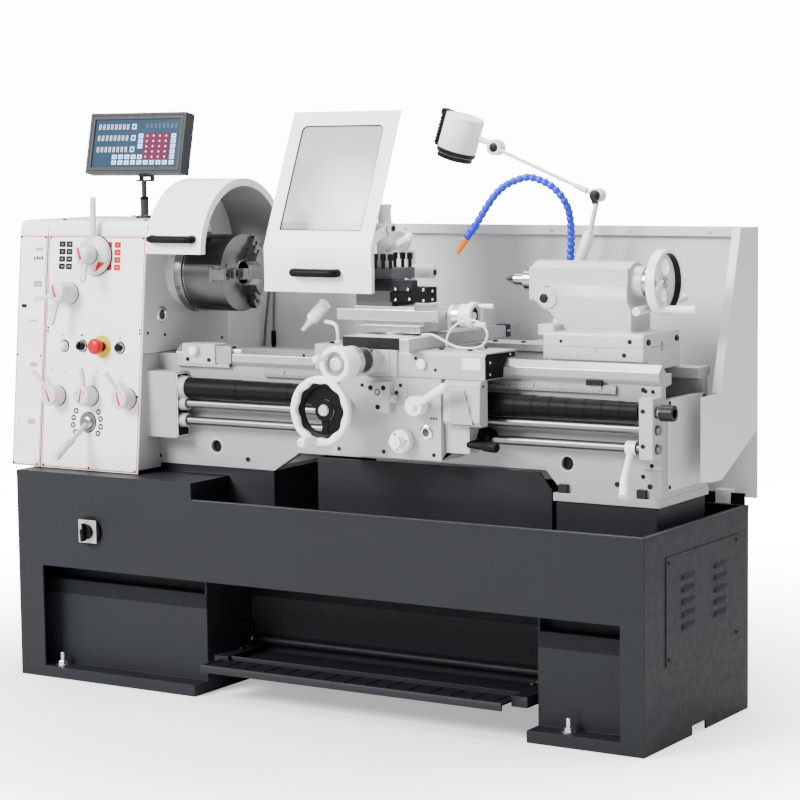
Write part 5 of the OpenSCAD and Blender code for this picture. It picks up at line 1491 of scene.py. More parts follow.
b = B()
fluted(b, (1010, 0, 760), 85, 67, 38.5, 56, 2.2, 10, "enamel")
o_ = (1010, 0, 760)
b.rev(o_, (0, -1, 0), [(31, 56), (31, 76), (33, 79), (39, 79), (41, 76), (41, 66), (36, 58)], "black_plastic", 96, closed=False)
b.rev(o_, (0, -1, 0), [(-49, 0), (-49, 18), (20, 18), (22, 20), (22, 24), (23, 26), (29, 26.2), (31, 26.2), (33.6, 26), (34.2, 24), (34.2, 14), (38.5, 13.5), (40, 12), (40.5, 0)], "enamel", 64)
b.rev(o_, (0, -1, 0), [(31.2, 14), (31.2, 26.4), (34.6, 26), (35, 24.5), (35, 14)], "black_plastic", 64, closed=False)
b.rev(o_, (0, -1, 0), [(34, 0), (34, 13.4), (39.5, 13.2), (41.2, 11.5), (41.4, 0)], "silver", 48)
for a in (90, 210, 330):
    t = math.radians(a)
    b.rev((1010 + 7 * math.cos(t), -41.2, 760 + 7 * math.sin(t)), (0, -1, 0), [(-0.2, 1.6), (0.3, 1.6), (0.2, 0)], "blackened", 14)
for a in (150, 270, 30):
    t = math.radians(a)
    c_, s_ = math.cos(t), math.sin(t)
    pts = []
    for (r_, w_) in ((24, 11), (40, 8.5), (58, 10), (70, 15)):
        pts.append((r_, w_))
    vs, fs = [], []
    for i, (r_, w_) in enumerate(pts):
        for sx, zz in ((-1, 23), (1, 23), (1, 31), (-1, 31)):
            vs.append((1010 + r_ * c_ - sx * w_ * s_, -zz - (2.0 if zz > 25 and i == 3 else 0), 760 + r_ * s_ + sx * w_ * c_))
    for i in range(3):
        for j in range(4):
            fs.append([i * 4 + j, i * 4 + (j + 1) % 4, i * 4 + 4 + (j + 1) % 4, i * 4 + 4 + j])
    fs += [[3, 2, 1, 0], [12, 13, 14, 15]]
    b.add(vs, fs, "black_plastic")
# the black dish of the wheel leaves one window open at the lower left
vs, fs = [], []
NA = 44
for i in range(NA + 1):
    t = math.radians(-98 + 256 * i / NA)
    for r_, zz in ((20, 24.5), (69, 24.5), (69, 29.5), (20, 29.5)):
        vs.append((1010 + r_ * math.cos(t), -zz, 760 + r_ * math.sin(t)))
for i in range(NA):
    for j in range(4):
        fs.append([i * 4 + j, i * 4 + (j + 1) % 4, i * 4 + 4 + (j + 1) % 4, i * 4 + 4 + j])
fs += [[3, 2, 1, 0], [NA * 4 + j for j in range(4)]]
b.add(vs, fs, "black_plastic")
# crank grip
b.rev((1010 - 18, -50, 760 - 72), (0, -1, 0), [(-10, 6), (1, 6), (1, 9), (2.5, 10.2), (8, 10.6), (30, 12.2), (48, 13), (55, 12.2), (59, 9), (60, 5), (60, 0)], "enamel", 40)
b.rev((1010 - 18, -50, 760 - 72), (0, -1, 0), [(59.8, 0), (59.8, 4), (60.6, 3.6), (60.8, 0)], "silver", 24)
b.rev((1010 + 10, -50, 760 - 84 + 8), (0, -1, 0), [(-4, 5), (6, 5), (7.5, 3.8), (8, 0)], "enamel", 24)
b.rev(o_, (0, -1, 0), [(-100, 0), (-100, 10), (-48, 10), (-48, 0)], "smooth_steel", 32)
o = b.obj("apron_handwheel_finish", "apron_handwheel", 0.5, 1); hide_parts("apron_handwheel")

# cross-feed handwheel with its graduated collar
b = B()
o_ = (1085, 0, 880)
b.rev(o_, (0, -1, 0), [(-28, 0), (-28, 29), (-27, 30), (19, 30), (20.5, 29), (20.5, 37), (22, 38), (70, 38), (72, 37), (72, 34), (74, 34), (74, 41), (76, 43), (94, 43), (98, 42), (100, 39), (100, 31), (98.5, 29), (84, 29), (84, 15.2), (95, 15), (96, 14), (96, 0)], "enamel", 80)
b.rev(o_, (0, -1, 0), [(-25, 29.9), (-25, 30.3), (17, 30.3), (17, 29.9)], "anthracite", 64, closed=False)
b.rev(o_, (0, -1, 0), [(84.2, 15.2), (84.2, 28.8), (84.6, 28.8), (84.6, 15.2)], "print_grey", 64, closed=False)
b.rev(o_, (0, -1, 0), [(22.4, 37.9), (22.4, 38.15), (42, 38.15), (42, 37.9)], "silver", 80, closed=False)
for k in range(50):
    a = math.radians(k * 7.2)
    h = 9 if k % 5 == 0 else 5
    c_, s_ = math.cos(a), math.sin(a)
    n_ = (-s_ * 0.35, c_ * 0.35)
    r0, r1 = 37.9, 38.3
    b.prism("y", -23 - h, -23, [(1085 + r0 * c_ + n_[0], 880 + r0 * s_ + n_[1]), (1085 + r1 * c_ + n_[0], 880 + r1 * s_ + n_[1]), (1085 + r1 * c_ - n_[0], 880 + r1 * s_ - n_[1]), (1085 + r0 * c_ - n_[0], 880 + r0 * s_ - n_[1])], "print_dark")
for s in (46, 50, 54, 58, 62, 66):
    b.ring(o_, (0, -1, 0), s, s + 1.6, 37.2, 38.3, "enamel", 72, 0.3)
for a in (90, 210, 330):
    t = math.radians(a)
    b.rev((1085 + 8 * math.cos(t), -96, 880 + 8 * math.sin(t)), (0, -1, 0), [(-0.2, 1.8), (0.3, 1.8), (0.2, 0)], "blackened", 14)
b.rev((1085 - 26, -98, 880 + 14), (0, -1, 0), [(-2, 5), (1, 5), (1, 6.6), (4, 7.2), (26, 8.6), (38, 9), (43, 8), (45.6, 5), (46, 0)], "enamel", 36)
b.rev(o_, (0, -1, 0), [(-142, 0), (-142, 10), (-27, 10), (-27, 0)], "smooth_steel", 32)
o = b.obj("cross_handwheel_finish", "cross_handwheel", 0.3, 1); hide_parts("cross_handwheel")

# feed selector knob and half nut lever details
b = B()
for a in (125, 250, 5):
    t = math.radians(a)
    b.rev((1180 + 21 * math.cos(t), 34, 686 + 21 * math.sin(t)), (0, -1, 0), [(-0.2, 3), (0.2, 3), (0.2, 2.6), (-0.1, 0)], "blackened", 20)
b.rev((1180, 12, 686), (0, -1, 0), [(-0.2, 8), (1.2, 7.4), (1.6, 5), (1.6, 0)], "enamel", 6)
b.obj("feed_knob_marks", "feed_knob")
b = B()
b.rev((1228, 22, 775), (0, -1, 0), [(-0.3, 12), (2.5, 11), (3.5, 9), (3.5, 0)], "enamel", 40)
b.ball((1322, 5, 824), 11.8, "enamel", n=28, m=16)
b.obj("half_nut_lever_cap", "half_nut_lever")

# star knob and lever on the control rod at the right end of the apron
b = B()
n_l = 6
pts = []
for k in range(72):
    t = 2 * math.pi * k / 72
    r_ = 24.5 + 3.2 * math.cos(n_l * t)
    pts.append((133 + r_ * math.cos(t), 692 + r_ * math.sin(t)))
b.prism("x", 1353.5, 1380, pts, "black_plastic")
b.ring((1380, 133, 692), (1, 0, 0), -1, 4, 11.2, 18, "black_plastic", 40, 1.0)
b.rev((1372, 40, 688), Vector((74, -4, -2)), [(40, 9.5), (44, 11.5), (72, 12.4), (78, 11.5), (81, 8), (82, 0)], "black_plastic", 32)
b.obj("carriage_lever_star", "carriage_lever", 1.0)

# compound handwheel
b = B()
o_ = (1224, 213, 979)
b.rev(o_, (1, 0, 0), [(0.4, 0), (0.4, 25), (1.4, 26), (12, 26), (12.5, 28), (13.5, 29), (53, 29), (54, 28), (54, 32), (56, 34), (68, 34), (70, 32.5), (70, 24), (68, 22), (60, 22), (60, 10), (64, 9.4), (65, 8), (65, 0)], "enamel", 64)
b.rev(o_, (1, 0, 0), [(14, 29.0), (14, 29.3), (32, 29.3), (32, 29.0)], "silver", 64, closed=False)
for k in range(40):
    a = math.radians(k * 9)
    h = 7 if k % 5 == 0 else 4
    c_, s_ = math.cos(a), math.sin(a)
    n_ = (-s_ * 0.3, c_ * 0.3)
    b.prism("x", 1238.6, 1238.6 + h, [(213 + 29 * c_ + n_[0], 979 + 29 * s_ + n_[1]), (213 + 29.45 * c_ + n_[0], 979 + 29.45 * s_ + n_[1]), (213 + 29.45 * c_ - n_[0], 979 + 29.45 * s_ - n_[1]), (213 + 29 * c_ - n_[0], 979 + 29 * s_ - n_[1])], "print_dark")
b.rev((1224, 213, 979), (1, 0, 0), [(60.2, 10.4), (60.2, 21.8), (60.6, 21.8), (60.6, 10.4)], "print_dark", 56, closed=False)
b.rev((1224 + 69, 213 + 8, 979 + 24), (1, 0, 0), [(-3, 4), (0, 4), (0, 5), (20, 5.8), (40, 6.4), (43, 5), (44, 0)], "enamel", 28)
b.rev((1224 + 69, 213 - 16, 979 - 20), (1, 0, 0), [(-3, 4), (0, 4), (0, 5), (20, 6.0), (33, 6.8), (35.5, 5), (36, 0)], "enamel", 28)
b.rev(o_, (1, 0, 0), [(-100, 0), (-100, 8), (1, 8), (1, 0)], "smooth_steel", 28)
o = b.obj("compound_handwheel_finish", "compound_handwheel", 0.3, 1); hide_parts("compound_handwheel")

# tool post: block, holder and clamp screws
adopt("toolpost", "toolpost_grey", 0.7, mats=("blackened", "black_plastic"), pick=lambda c, n, a: 2 if (c.x > 1091.9 and c.z < 1051 and c.x < 1197) or (c.x > 1085.8 and c.z < 1037) else (1 if (c.z > 1092.2 or (c.z > 1066.2 and abs(n.z) < 0.3 and c.x > 980.3 and c.x < 1085.7 and c.y > 160.3 and c.y < 265.7) or (c.z < 1066.2 and c.z > 1037.9 and (c.x > 1086.2 or c.x < 1092) and c.y < 177.8 and c.z > 1038.1)) else 0))
b = B()
for x in (989, 1010, 1033, 1056, 1077):
    for y in (168, 258):
        b.rev((x, y, 1111.5), (0, 0, 1), [(0, 6.2), (0.6, 7.3), (15.4, 7.3), (16.8, 6.0), (16.8, 3.6), (10, 3.4), (10, 0)], "blackened", 28)
for x, z in ((1104, 1044), (1140, 1044), (1184, 1044), (1104, 1018), (1144, 1020), (1184, 1018)):
    b.rev((x, 146, z), (0, -1, 0), [(-0.2, 3.6), (0.6, 3.6), (1.8, 2.6), (2.2, 0)], "chrome", 20)
for z in (1020, 1040):
    b.rev((1196, 168, z), (1, 0, 0), [(-0.2, 3.6), (0.6, 3.6), (1.8, 2.6), (2.2, 0)], "chrome", 20)
b.obj("toolpost_screws", "toolpost")
b = B()
b.rev((1033, 213, 1092.6), (0, 0, 1), [(0, 19), (0, 21), (1, 22), (40, 22), (48, 20.5), (53.5, 17.5), (53.9, 14.5)], "enamel", 48)
b.ball((1142, 152, 1171), 11.8, "enamel", n=28, m=16)
b.obj("toolpost_lever_hub", "toolpost_lever") if False else None

# ---------------------------------------------------------------- lead screw thread, telescopic covers, end bracket
b = B()


def helix(b, x0, x1, y, z, r, pitch, depth, material, n=20):
    """Trapezoid screw thread as one ribbon of rings."""
    turns = (x1 - x0) / pitch
    N = int(turns * n)
    vs, fs = [], []
    for i in range(N + 1):
        t = 2 * math.pi * i / n
        x = x0 + pitch * i / n
        c, s = math.cos(t), math.sin(t)
        for dx, rr in ((-0.34 * pitch, r - depth), (-0.2 * pitch, r), (0.2 * pitch, r), (0.34 * pitch, r - depth)):
            vs.append((x + dx, y + rr * c, z + rr * s))
    for i in range(N):
        for j in range(3):
            fs.append([i * 4 + j, i * 4 + j + 1, i * 4 + 5 + j, i * 4 + 4 + j])
        fs.append([i * 4 + 3, i * 4, i * 4 + 4, i * 4 + 7])
    fs.append([0, 1, 2, 3][::-1])
    fs.append([N * 4 + j for j in range(4)])
    b.add(vs, fs, material)


helix(b, 462, 478, 133, 777, 13.9, 6, 1.6, "smooth_steel")
helix(b, 1290, 1357, 133, 777, 13.9, 6, 1.6, "smooth_steel")
b.rev((1829, 133, 777), (1, 0, 0), [(-0.2, 18), (0, 19.2), (8, 19.2), (8.6, 16), (12, 16), (12.6, 19.2), (24, 19.2), (25, 17), (25, 12), (32, 12), (33, 10.5), (33, 0)], "blackened", 48)
b.obj("leadscrew_thread", "leadscrew")
# keyway of the feed rod
b = B()
b.box((470, 130.5, 746.4), (960, 135.5, 747.15), "print_dark")
b.box((1300, 130.5, 746.4), (1760, 135.5, 747.15), "print_dark")
b.rev((1818, 133, 736), (1, 0, 0), [(-0.2, 11.3), (6, 11.3), (7.5, 10), (7.5, 0)], "smooth_steel", 40)
b.obj("feed_rod_keyway", "feed_rod")


def telescope(name, xs, radii, node, body):
    """Overlapping sleeves of a telescopic cover, each with a rolled lip."""
    b = B()
    for (x0, x1), r in zip(zip(xs, xs[1:]), radii):
        prof = [(x0, 14.6), (x0, r - 0.8), (x0 + math.copysign(0.8, x1 - x0), r), (x0 + math.copysign(3.4, x1 - x0), r), (x0 + math.copysign(4.2, x1 - x0), r - 0.7), (x1, r - 0.7), (x1, 14.6)]
        n = 56
        vs, fs = [], []
        for s, rr in prof:
            for k in range(n):
                t = 2 * math.pi * k / n
                vs.append((s, 133 + rr * math.cos(t), 777 + rr * math.sin(t)))
        m = len(prof)
        for i in range(m):
            i2 = (i + 1) % m
            for k in range(n):
                fs.append([i * n + k, i * n + (k + 1) % n, i2 * n + (k + 1) % n, i2 * n + k])
        b.add(vs, fs, "black_plastic")
    o = b.obj(name, body)
    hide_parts(node)
    return o


telescope("screw_cover_left_finish", [481 + 481 * k / 3 for k in range(4)], [27, 26, 25], "screw_cover_left", "root")
telescope("screw_cover_right_finish", [1360 + 416 * k / 9 for k in range(10)], [29 - 7 * k / 9 for k in range(9)], "screw_cover_right", "root")

b = B()
for y, z, x, d in ((156, 825.5, 1771, 1), (156, 825, 1790, 1)):
    b.socket((x + 6, 156, z - 3), (0, -1, 0), 4.6, 2.4)
for x, z in ((1793, 781), (1793, 700), (1808, 781), (1808, 700)):
    b.socket((x, 110, z), (0, -1, 0), 5.0, 2.8) if x < 1800 else None
for z in (777, 736, 692):
    b.ring((1782, 133, z), (-1, 0, 0), -0.4, 1.4, 13.6 if z == 777 else 11.6, 18 if z == 777 else 15, "enamel", 44, 0.5)
b.obj("end_bracket_fittings", "root")
b = B()
# openings in the end of the rails and the stop of the rack
b.box((1817.6, 163, 846), (1818.3, 228, 868), "print_dark") if False else None
b.box((1626, 147.2, 830.4), (1667, 155.6, 843.6), "blackened")
b.socket((1636, 147.2, 837), (0, -1, 0), 3.4, 2)
b.socket((1657, 147.2, 837), (0, -1, 0), 3.4, 2)
b.obj("rack_stop", "root", 0.5)
# foot bolts of the bed and plugs of the bracket's back plate
b = B()
for x in (1560, 1766):
    b.rev((x, 158, 571.2), (0, 0, 1), [(0, 4.6), (0, 6.6), (14, 6.6), (15, 5.6), (15, 0)], "blackened", 6) if False else None
    b.box((x - 12, 153.4, 571.3), (x + 12, 162.6, 592), "blackened")
for x, z, r in ((1771.5, 825, 6.0), (1793, 649.5, 5.6)):
    b.rev((x + (0 if x < 1780 else 0), 156.0, z), (0, -1, 0), [(-0.3, r), (0.5, r), (0.7, r * 0.7), (0.7, 0)], "print_dark", 28)
b.rev((1767, 163, 622), (0, -1, 0), [(-0.3, 5.6), (0.5, 5.6), (0.7, 4), (0.7, 0)], "print_dark", 28)
b.obj("bed_foot_bolts", "root", 0.5)

# ---------------------------------------------------------------- tailstock
b = B()
b.rev((1470, 231, 1025.2), (0, -1, 0), [(-6, 12), (0.5, 12), (1.6, 11.2), (2.2, 9.4), (2.2, 0)], "blackened", 40)
b.ring((1470, 231.0, 1025.2), (0, -1, 0), -0.6, 0.8, 12.2, 14.5, "enamel", 40, 0.4)
b.obj("tailstock_plug", "tailstock")
b = B()
b.rev((1538, 189, 928), (0, -1, 0), [(-0.2, 4.0), (0.8, 4.0), (1.6, 3.0), (1.6, 1.6), (0.6, 1.5), (0.6, 0)], "blackened", 20)
# joint between the base and the body, and the zero marks of the set-over
b.box((1490.3, 188.85, 916.2), (1683.0, 189.4, 916.9), "print_dark")
b.box((1683.0, 188.85, 917.4), (1754.6, 189.4, 918.0), "print_dark")
for dx in (-4, 0, 4):
    b.box((1632 + dx, 188.7, 905), (1632.7 + dx, 189.3, 915.8), "print_dark")
b.box((1615, 188.7, 917.2), (1615.7, 189.3, 927), "print_dark")
b.socket((1720, 189.6, 932), (0, -1, 0), 5.5, 2.0)
b.socket((1705, 189.6, 900), (0, -1, 0), 5.5, 2.0)
b.obj("tailstock_marks", "tailstock")
b = B()
b.box((1754.6, 225, 916.4), (1755.5, 349, 917.1), "print_dark")
for dy in (-4, 0, 4):
    b.box((1754.6, 287 + dy, 905), (1755.4, 287.7 + dy, 928), "print_dark")
for y in (212, 362):
    b.hexhead((1755, y, 930), (1, 0, 0), 13, 5.5, "blackened", ref=(0, 0, 1))
b.obj("tailstock_end_marks", "tailstock")
# oil ball caps on top of the barrel, and the hand-wheel dial
b = B()
for x in (1455, 1640):
    b.rev((x, 287, 1113.9), (0, 0, 1), [(-1, 4.2), (0.8, 4.2), (1.2, 3.4), (0.7, 2.4), (1.4, 1.2), (1.7, 0)], "brass", 20)
b.rev((1735.2, AY, AZ), (-1, 0, 0), [(0, 37.2), (1.5, 37.9), (16, 37.9), (17.5, 37.2), (17.5, 30)], "turned", 72)
for k in range(40):
    a = math.radians(k * 9)
    r = 38.0
    h = 6.5 if k % 5 == 0 else 3.8
    c_, s_ = math.cos(a), math.sin(a)
    n_ = (-s_ * 0.3, c_ * 0.3)
    b.prism("x", 1734.5 - h, 1734.5, [(AY + (r - 0.4) * c_ + n_[0], AZ + (r - 0.4) * s_ + n_[1]), (AY + (r + 0.12) * c_ + n_[0], AZ + (r + 0.12) * s_ + n_[1]), (AY + (r + 0.12) * c_ - n_[0], AZ + (r + 0.12) * s_ - n_[1]), (AY + (r - 0.4) * c_ - n_[0], AZ + (r - 0.4) * s_ - n_[1])], "print_dark")
b.obj("tailstock_fittings", "tailstock")
# barrel graduations
b = B()
for k in range(0, 6):
    x = 1396 + 5 * k
    b.box((x, AY - 25.15, AZ - (5 if k % 2 == 0 else 3)), (x + 0.5, AY - 24.6, AZ + (5 if k % 2 == 0 else 3)), "print_dark")
b.obj("quill_marks", "quill")
adopt("tail_handwheel", "enamel", 1.2, mats=("blackened", "turned"), pick=lambda c, n, a: (1 if (math.hypot(c.y - AY, c.z - AZ) < 40 and 1735 < c.x < 1749.5) else (1 if abs(math.hypot(c.y - AY, c.z - AZ) - 68.8) < 2.0 and 1749 < c.x < 1771.5 and abs(n.x) < 0.5 else 0)))
b = B()
b.rev((1762, AY, AZ), (1, 0, 0), [(-0.5, 14), (3, 14), (4.5, 12.5), (4.5, 7), (3, 6.5), (3, 0)], "turned", 40)
b.hexhead((1765, AY, AZ), (1, 0, 0), 12, 4, "zinc", ref=(0, 0, 1))
b.rev((1768, AY + 60, AZ - 34), (1, 0, 0), [(-2, 6), (0.4, 8.2)], "turned", 24) if False else None
b.obj("tail_wheel_hub", "tail_handwheel")
adopt("tail_clamp_lever", "enamel", 1.0, mats=("turned",), pick=lambda c, n, a: 1 if c.x < 1704 else 0)
b = B()
for y, z, d in ((217, 1000.5, -1), (480, 1018, 1)):
    b.ball((1722, y, z), 11.4, "black_plastic", n=28, m=16) if False else None
b.obj("none", None) if False else None

# ---------------------------------------------------------------- splash guard: folds, screws, cables at the back
b = B()
for x in (760, 1120, 1480):
    b.box((x, 602.6, 700), (x + 1.2, 603.0, 1184), "print_grey") if False else None
for x in (420, 640, 860, 1080, 1300, 1520, 1740, 1836):
    b.rev((x, 584, 1173), (0, -1, 0), [(-0.2, 4.2), (0.8, 4.2), (1.8, 3.0), (1.8, 1.4), (0.9, 1.2), (0.9, 0)], "zinc", 20)
for z in (1120, 980, 840, 700):
    b.rev((1860, 590 if z > 900 else 560, z), (1, 0, 0), [(-0.2, 0)], "zinc") if False else None
b.obj("splash_screws", "root")
# the sheet goes on behind the headstock; a strip closes the gap above the rear lip of the tray
b = B()
b.box((176, 601.2, 700), (380.4, 602.8, 1185.6), "splash_enamel")
b.box((176, 584.4, 1184.2), (380.4, 602.8, 1185.6), "splash_enamel")
b.obj("splash_wing", "root", 0.4)
b = B()
b.box((562, 577.1, 496), (1838, 578.7, 534), "slate_top")
b.obj("tray_rear_strip", "root", 0.3)
# clamp-on bed stop on the front way, with its knob and stop rod
b = B()
b.prism("x", 452, 556, [(142, 838), (149.5, 838), (149.5, 866.2), (167, 884.7), (184.5, 866.3), (196, 866.3), (196, 890), (142, 890)], "apron_enamel")
b.prism("x", 556, 604, [(146, 842), (149.5, 842), (149.5, 866.2), (167, 884.7), (184.5, 866.3), (192, 866.3), (192, 886), (146, 886)], "cast_iron")
b.obj("bed_stop", "root", 1.2)
b = B()
b.rev((494, 142, 874), (0, -1, 0), [(-0.3, 6), (3, 6), (3, 11), (4, 12), (13, 12), (14.5, 10.5), (14.5, 0)], "white_plastic", 40)
b.rev((604, 158, 876), (1, 0, 0), [(-0.3, 5.5), (26, 5.5), (27, 4.5), (27, 0)], "chrome", 32)
for x in (470, 538):
    b.socket((x, 142, 850), (0, -1, 0), 5.0, 4.0)
b.obj("bed_stop_fittings", "root")
cable("rear_cable", "root", [(410, 596, 1000), (409, 594, 994), (407, 590, 960), (403, 588, 920), (399, 587, 880), (396, 586, 846)], 3.6, "fabric_cable")
b = B()
b.rev((428, 587, 890), (0, 0, -1), [(0, 4), (1, 6.5), (34, 7.2), (38, 6.2), (46, 5), (46, 0)], "black_plastic", 28)
plug_ = b.obj("rear_cable_plug", "root")
cable("rear_plug_cable", "root", [(428, 596, 1002), (428, 593, 994), (428, 590, 950), (428, 588, 900), (428, 587, 888)], 3.6, "fabric_cable")

# ---------------------------------------------------------------- lamp
adopt("lamp_head", "lamp_white", 1.6, mats=("blackened", "diffuser"), pick=lambda c, n, a: 1 if (Vector((c.x, c.y, c.z)) - Vector((1105, 490, 1463))).dot(Vector((-32, 0, -95)).normalized()) > 99.5 and c.z < 1380 and c.x < 1130 else 0)
ax = Vector((-32, 0, -95)).normalized()
b = B()
o_ = Vector((1105, 490, 1463))
b.rev(o_, ax, [(-0.6, 40), (0.4, 46), (2, 49.2), (6, 50.3), (7, 50.3), (8, 49.8)], "lamp_white", 72, closed=True)
b.rev(o_, ax, [(88, 50.0), (88.4, 50.7), (97, 50.7), (99, 50.2), (100.4, 48.6), (100.4, 44), (96, 42), (88, 42)], "blackened", 72, closed=False)
b.rev(o_, ax, [(99.6, 0), (99.6, 43.6), (100.8, 43.4), (101.2, 0)], "diffuser", 56)
b.obj("lamp_head_rings", "lamp_head")
b = B()
side = Vector((0, 1, 0)).cross(ax).normalized()
base = o_ + ax * 48 + Vector((0, 0, 0))
lf = Vector((-1, 0, 0)) + ax * ax.x
lf = lf.normalized()
# finned handle on the left of the head
T_ = place(tuple(base + lf * 49), lf, Vector((0, 1, 0)), ax)
b.T = place(tuple(base + lf * 49), lf, ax.cross(lf), ax)
for k in range(9):
    s = -36 + 9.0 * k
    b.prism("z", s - 3.4, s + 3.4, [(-3, -24), (8, -24), (12.5, -17), (14, 0), (12.5, 17), (8, 24), (-3, 24)], "black_plastic")
b.box((-3, -21, -44), (6.5, 21, 44), "black_plastic")
b.prism("z", -50, -36, [(-3, -16), (16, -16), (20, 0), (16, 16), (-3, 16)], "black_plastic")
b.obj("lamp_handle", "lamp_head", 0.9)
b = B()
# joint caps, clamp tab and thick sleeve
b.rev((1193, 486, 1384), (0, -1, 0), [(-1, 12), (11, 12), (13.5, 10.5), (14.2, 8), (14.2, 0)], "blackened", 40)
b.obj("lamp_tilt_cap", "lamp_head")
b = B()
b.rev((1481, 475, 1264), (0, -1, 0), [(-0.5, 13), (6, 13), (9, 11.5), (9.8, 8.5), (9.8, 0)], "blackened", 40)
b.prism("y", 461, 466, [(1473, 1262), (1488, 1266), (1494, 1246), (1480, 1242)], "blackened")
b.obj("lamp_elbow_cap", "lamp_upper_arm", 0.6)
b = B()
d_ = Vector((101, 0, 253)).normalized()
b.rev((1358, 490, 920), d_, [(2, 13.2), (3, 15), (12, 15), (14, 13.4), (200, 13.4), (202, 14.6), (262, 14.6), (266, 13.2), (271, 9.5), (271, 0)], "lamp_white", 40)
b.rev((1352, 490, 925), (0, 0, 1), [(-1, 21), (0.6, 21), (3, 18), (6, 14.5), (6, 0)], "lamp_white", 40)
for a in (30, 150, 270):
    t = math.radians(a)
    b.socket((1352 + 17.5 * math.cos(t), 490 + 17.5 * math.sin(t), 925), (0, 0, 1), 2.8, 2.0)
b.obj("lamp_lower_sleeve", "lamp_lower_arm")

# ---------------------------------------------------------------- coolant hose: ball segments, collar, nozzle
HP = [(1386, 520, 903.3), (1386, 520, 1000), (1388, 518, 1090), (1398, 505, 1160), (1402, 492, 1210), (1400, 478, 1240), (1385, 466, 1270), (1360, 456, 1293), (1318, 443, 1310), (1287, 433, 1304), (1255, 423, 1289), (1232, 412, 1265), (1214, 401, 1235), (1193, 385, 1193), (1170, 369, 1155)]
line = smooth_line(HP, 1.0)
b = B()
pitch = 16.6
total = sum((q - p).length for p, q in zip(line, line[1:]))
nseg = int(total // pitch)
pitch = total / nseg
for k in range(nseg):
    i0 = min(int(round(k * pitch)), len(line) - 2)
    i1 = min(int(round((k + 1) * pitch)), len(line) - 1)
    p, q = line[i0], line[i1]
    d_ = (q - p)
    L_ = d_.length
    b.rev(p, d_, [(-3.2, 6.6), (-1.2, 7.6), (0.4, 8.6), (2.4, 9.7), (5.6, 10.3), (8.4, 10.0), (10.6, 9.0), (12.2, 7.8), (13.2, 7.6), (14.4, 8.3), (L_ + 1.0, 8.3), (L_ + 1.2, 6.2)], "blue_hose", 26)
o = b.obj("coolant_hose_finish", "carriage")
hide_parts("coolant_hose")
b2 = B()
b2.rev((1169, 368, 1153), Vector((-14, -12, -32)), [(-6, 9.0), (-4, 10.3), (2, 10.4), (4, 9.2), (6, 8.4), (14, 8.0), (34, 5.4), (36.4, 5.0), (36.4, 3.2), (30, 3.0), (30, 0)], "orange", 32)
nz = b2.obj("coolant_nozzle", "carriage")
b3 = B()
b3.rev((1386, 520, 903.2), (0, 0, 1), [(0, 12.5), (0.6, 13.5), (9, 13.5), (10, 12.4), (10, 10.6)], "blue_hose", 6)
fit = b3.obj("coolant_inlet", "carriage")

# ---------------------------------------------------------------- floor, light, camera
def stage_mesh(name, verts, faces, material):
    me = bpy.data.meshes.new(name)
    me.from_pydata(verts, [], faces)
    me.materials.append(MATS[material])
    o = bpy.data.objects.new(name, me)
    bpy.context.scene.collection.objects.link(o)
    for p in me.polygons:
        p.use_smooth = True
    return o


mat("studio_floor", (0.90, 0.90, 0.905), rough=0.75, rvar=0.03, cvar=0.006, bump=0.04, bscale=200)
fm = MATS["studio_floor"]
fn_ = fm.node_tree
# the floor brightens with distance, so that it meets the bright backdrop without a line
geo_ = fn_.nodes.new("ShaderNodeNewGeometry")
vl_ = fn_.nodes.new("ShaderNodeVectorMath")
vl_.operation = "LENGTH"
fn_.links.new(geo_.outputs["Position"], vl_.inputs[0])
mr_ = fn_.nodes.new("ShaderNodeMapRange")
mr_.interpolation_type = "SMOOTHSTEP"
mr_.inputs["From Min"].default_value = 0.65
mr_.inputs["From Max"].default_value = 2.8
mr_.inputs["To Min"].default_value = 0.5
mr_.inputs["To Max"].default_value = 14.0
fn_.links.new(vl_.outputs["Value"], mr_.inputs["Value"])
lp_ = fn_.nodes.new("ShaderNodeLightPath")
mu_ = fn_.nodes.new("ShaderNodeMath")
mu_.operation = "MULTIPLY"
fn_.links.new(mr_.outputs["Result"], mu_.inputs[0])
fn_.links.new(lp_.outputs["Is Camera Ray"], mu_.inputs[1])
pb_ = fn_.nodes["Principled BSDF"]
pb_.inputs["Emission Color"].default_value = (1, 1, 1, 1)
fn_.links.new(mu_.outputs[0], pb_.inputs["Emission Strength"])
floor = stage_mesh("studio_floor", [(-30, -30, 0), (30, -30, 0), (30, 30, 0), (-30, 30, 0)], [[0, 1, 2, 3]], "studio_floor")


def area(name, loc, target, size, power, col=(1, 1, 1), size_y=None):
    L = bpy.data.lights.new(name, "AREA")
    L.energy = power
    L.size = size
    if size_y:
        L.shape = "RECTANGLE"
        L.size_y = size_y
    L.color = col
    o = bpy.data.objects.new(name, L)
    o.location = loc
    d = Vector(target) - Vector(loc)
    o.rotation_euler = d.to_track_quat("-Z", "Y").to_euler()
    bpy.context.scene.collection.objects.link(o)
    return o


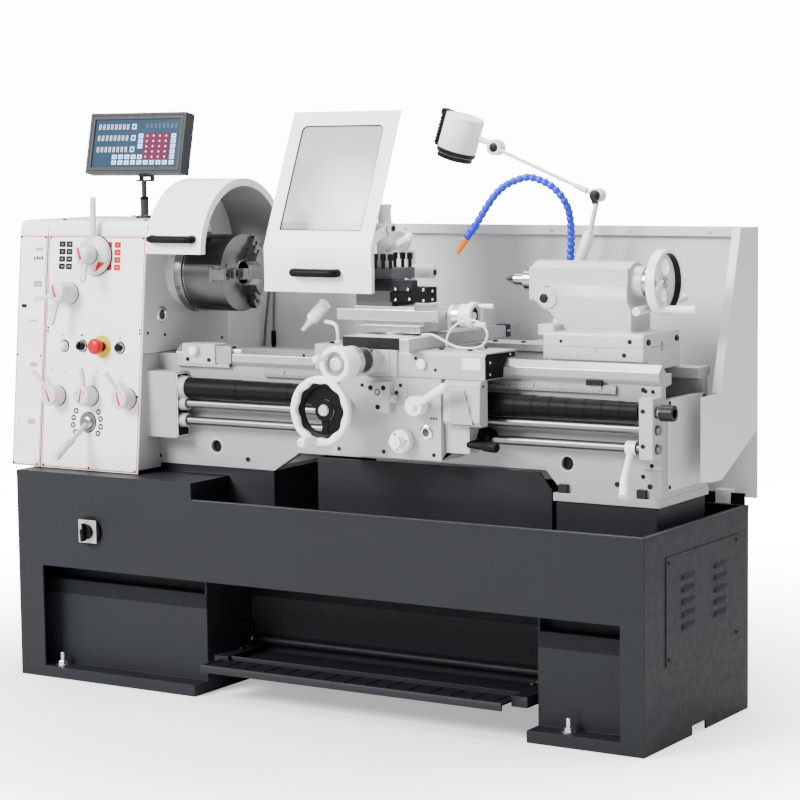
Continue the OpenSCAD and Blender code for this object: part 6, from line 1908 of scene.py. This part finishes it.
area("key_light", (-2.6, -4.8, 4.0), (0, 0, 0.8), 2.6, 1000, (1.0, 0.99, 0.98))
area("fill_light", (4.8, -2.2, 2.6), (0, 0, 0.7), 3.2, 25, (0.98, 0.99, 1.0))
area("top_light", (0.2, 0.4, 4.8), (0, 0, 0.8), 3.0, 380)
area("back_light", (2.2, 4.4, 3.4), (0, 0.2, 0.9), 2.6, 60)

world = bpy.data.worlds.new("studio_world")
bpy.context.scene.world = world
world.use_nodes = True
bg = world.node_tree.nodes["Background"]
bg.inputs["Color"].default_value = (0.93, 0.94, 0.95, 1)
bg.inputs["Strength"].default_value = 0.72
bright = world.node_tree.nodes.new("ShaderNodeBackground")
bright.inputs["Color"].default_value = (1, 1, 1, 1)
bright.inputs["Strength"].default_value = 14.0
path_ = world.node_tree.nodes.new("ShaderNodeLightPath")
mix_ = world.node_tree.nodes.new("ShaderNodeMixShader")
world.node_tree.links.new(path_.outputs["Is Camera Ray"], mix_.inputs[0])
world.node_tree.links.new(bg.outputs[0], mix_.inputs[1])
world.node_tree.links.new(bright.outputs[0], mix_.inputs[2])
world.node_tree.links.new(mix_.outputs[0], world.node_tree.nodes["World Output"].inputs["Surface"])

cam = bpy.data.cameras.new("camera")
cam.sensor_width = 36.0
cam.lens = 2439.0 / 800.0 * 36.0
cam.clip_start = 0.05
cam.clip_end = 200.0
cam.shift_x = -(399.0 - 400.0) / 800.0
cam.shift_y = (403.0 - 400.0) / 800.0
yaw, pitch, roll = math.radians(32.26), math.radians(6.16), math.radians(-0.71)
fwd = Vector((-math.sin(yaw) * math.cos(pitch), math.cos(yaw) * math.cos(pitch), -math.sin(pitch)))
right = Vector((math.cos(yaw), math.sin(yaw), 0))
up = right.cross(fwd)
r2 = right * math.cos(roll) + up * math.sin(roll)
u2 = -right * math.sin(roll) + up * math.cos(roll)
co = bpy.data.objects.new("camera", cam)
M = Matrix.Identity(4)
pos = W((4281.86, -4878.24, 1406.21))
for i, a in enumerate((r2, u2, -fwd)):
    for k in range(3):
        M[k][i] = a[k]
M[0][3], M[1][3], M[2][3] = pos
co.matrix_world = M
bpy.context.scene.collection.objects.link(co)
bpy.context.scene.camera = co
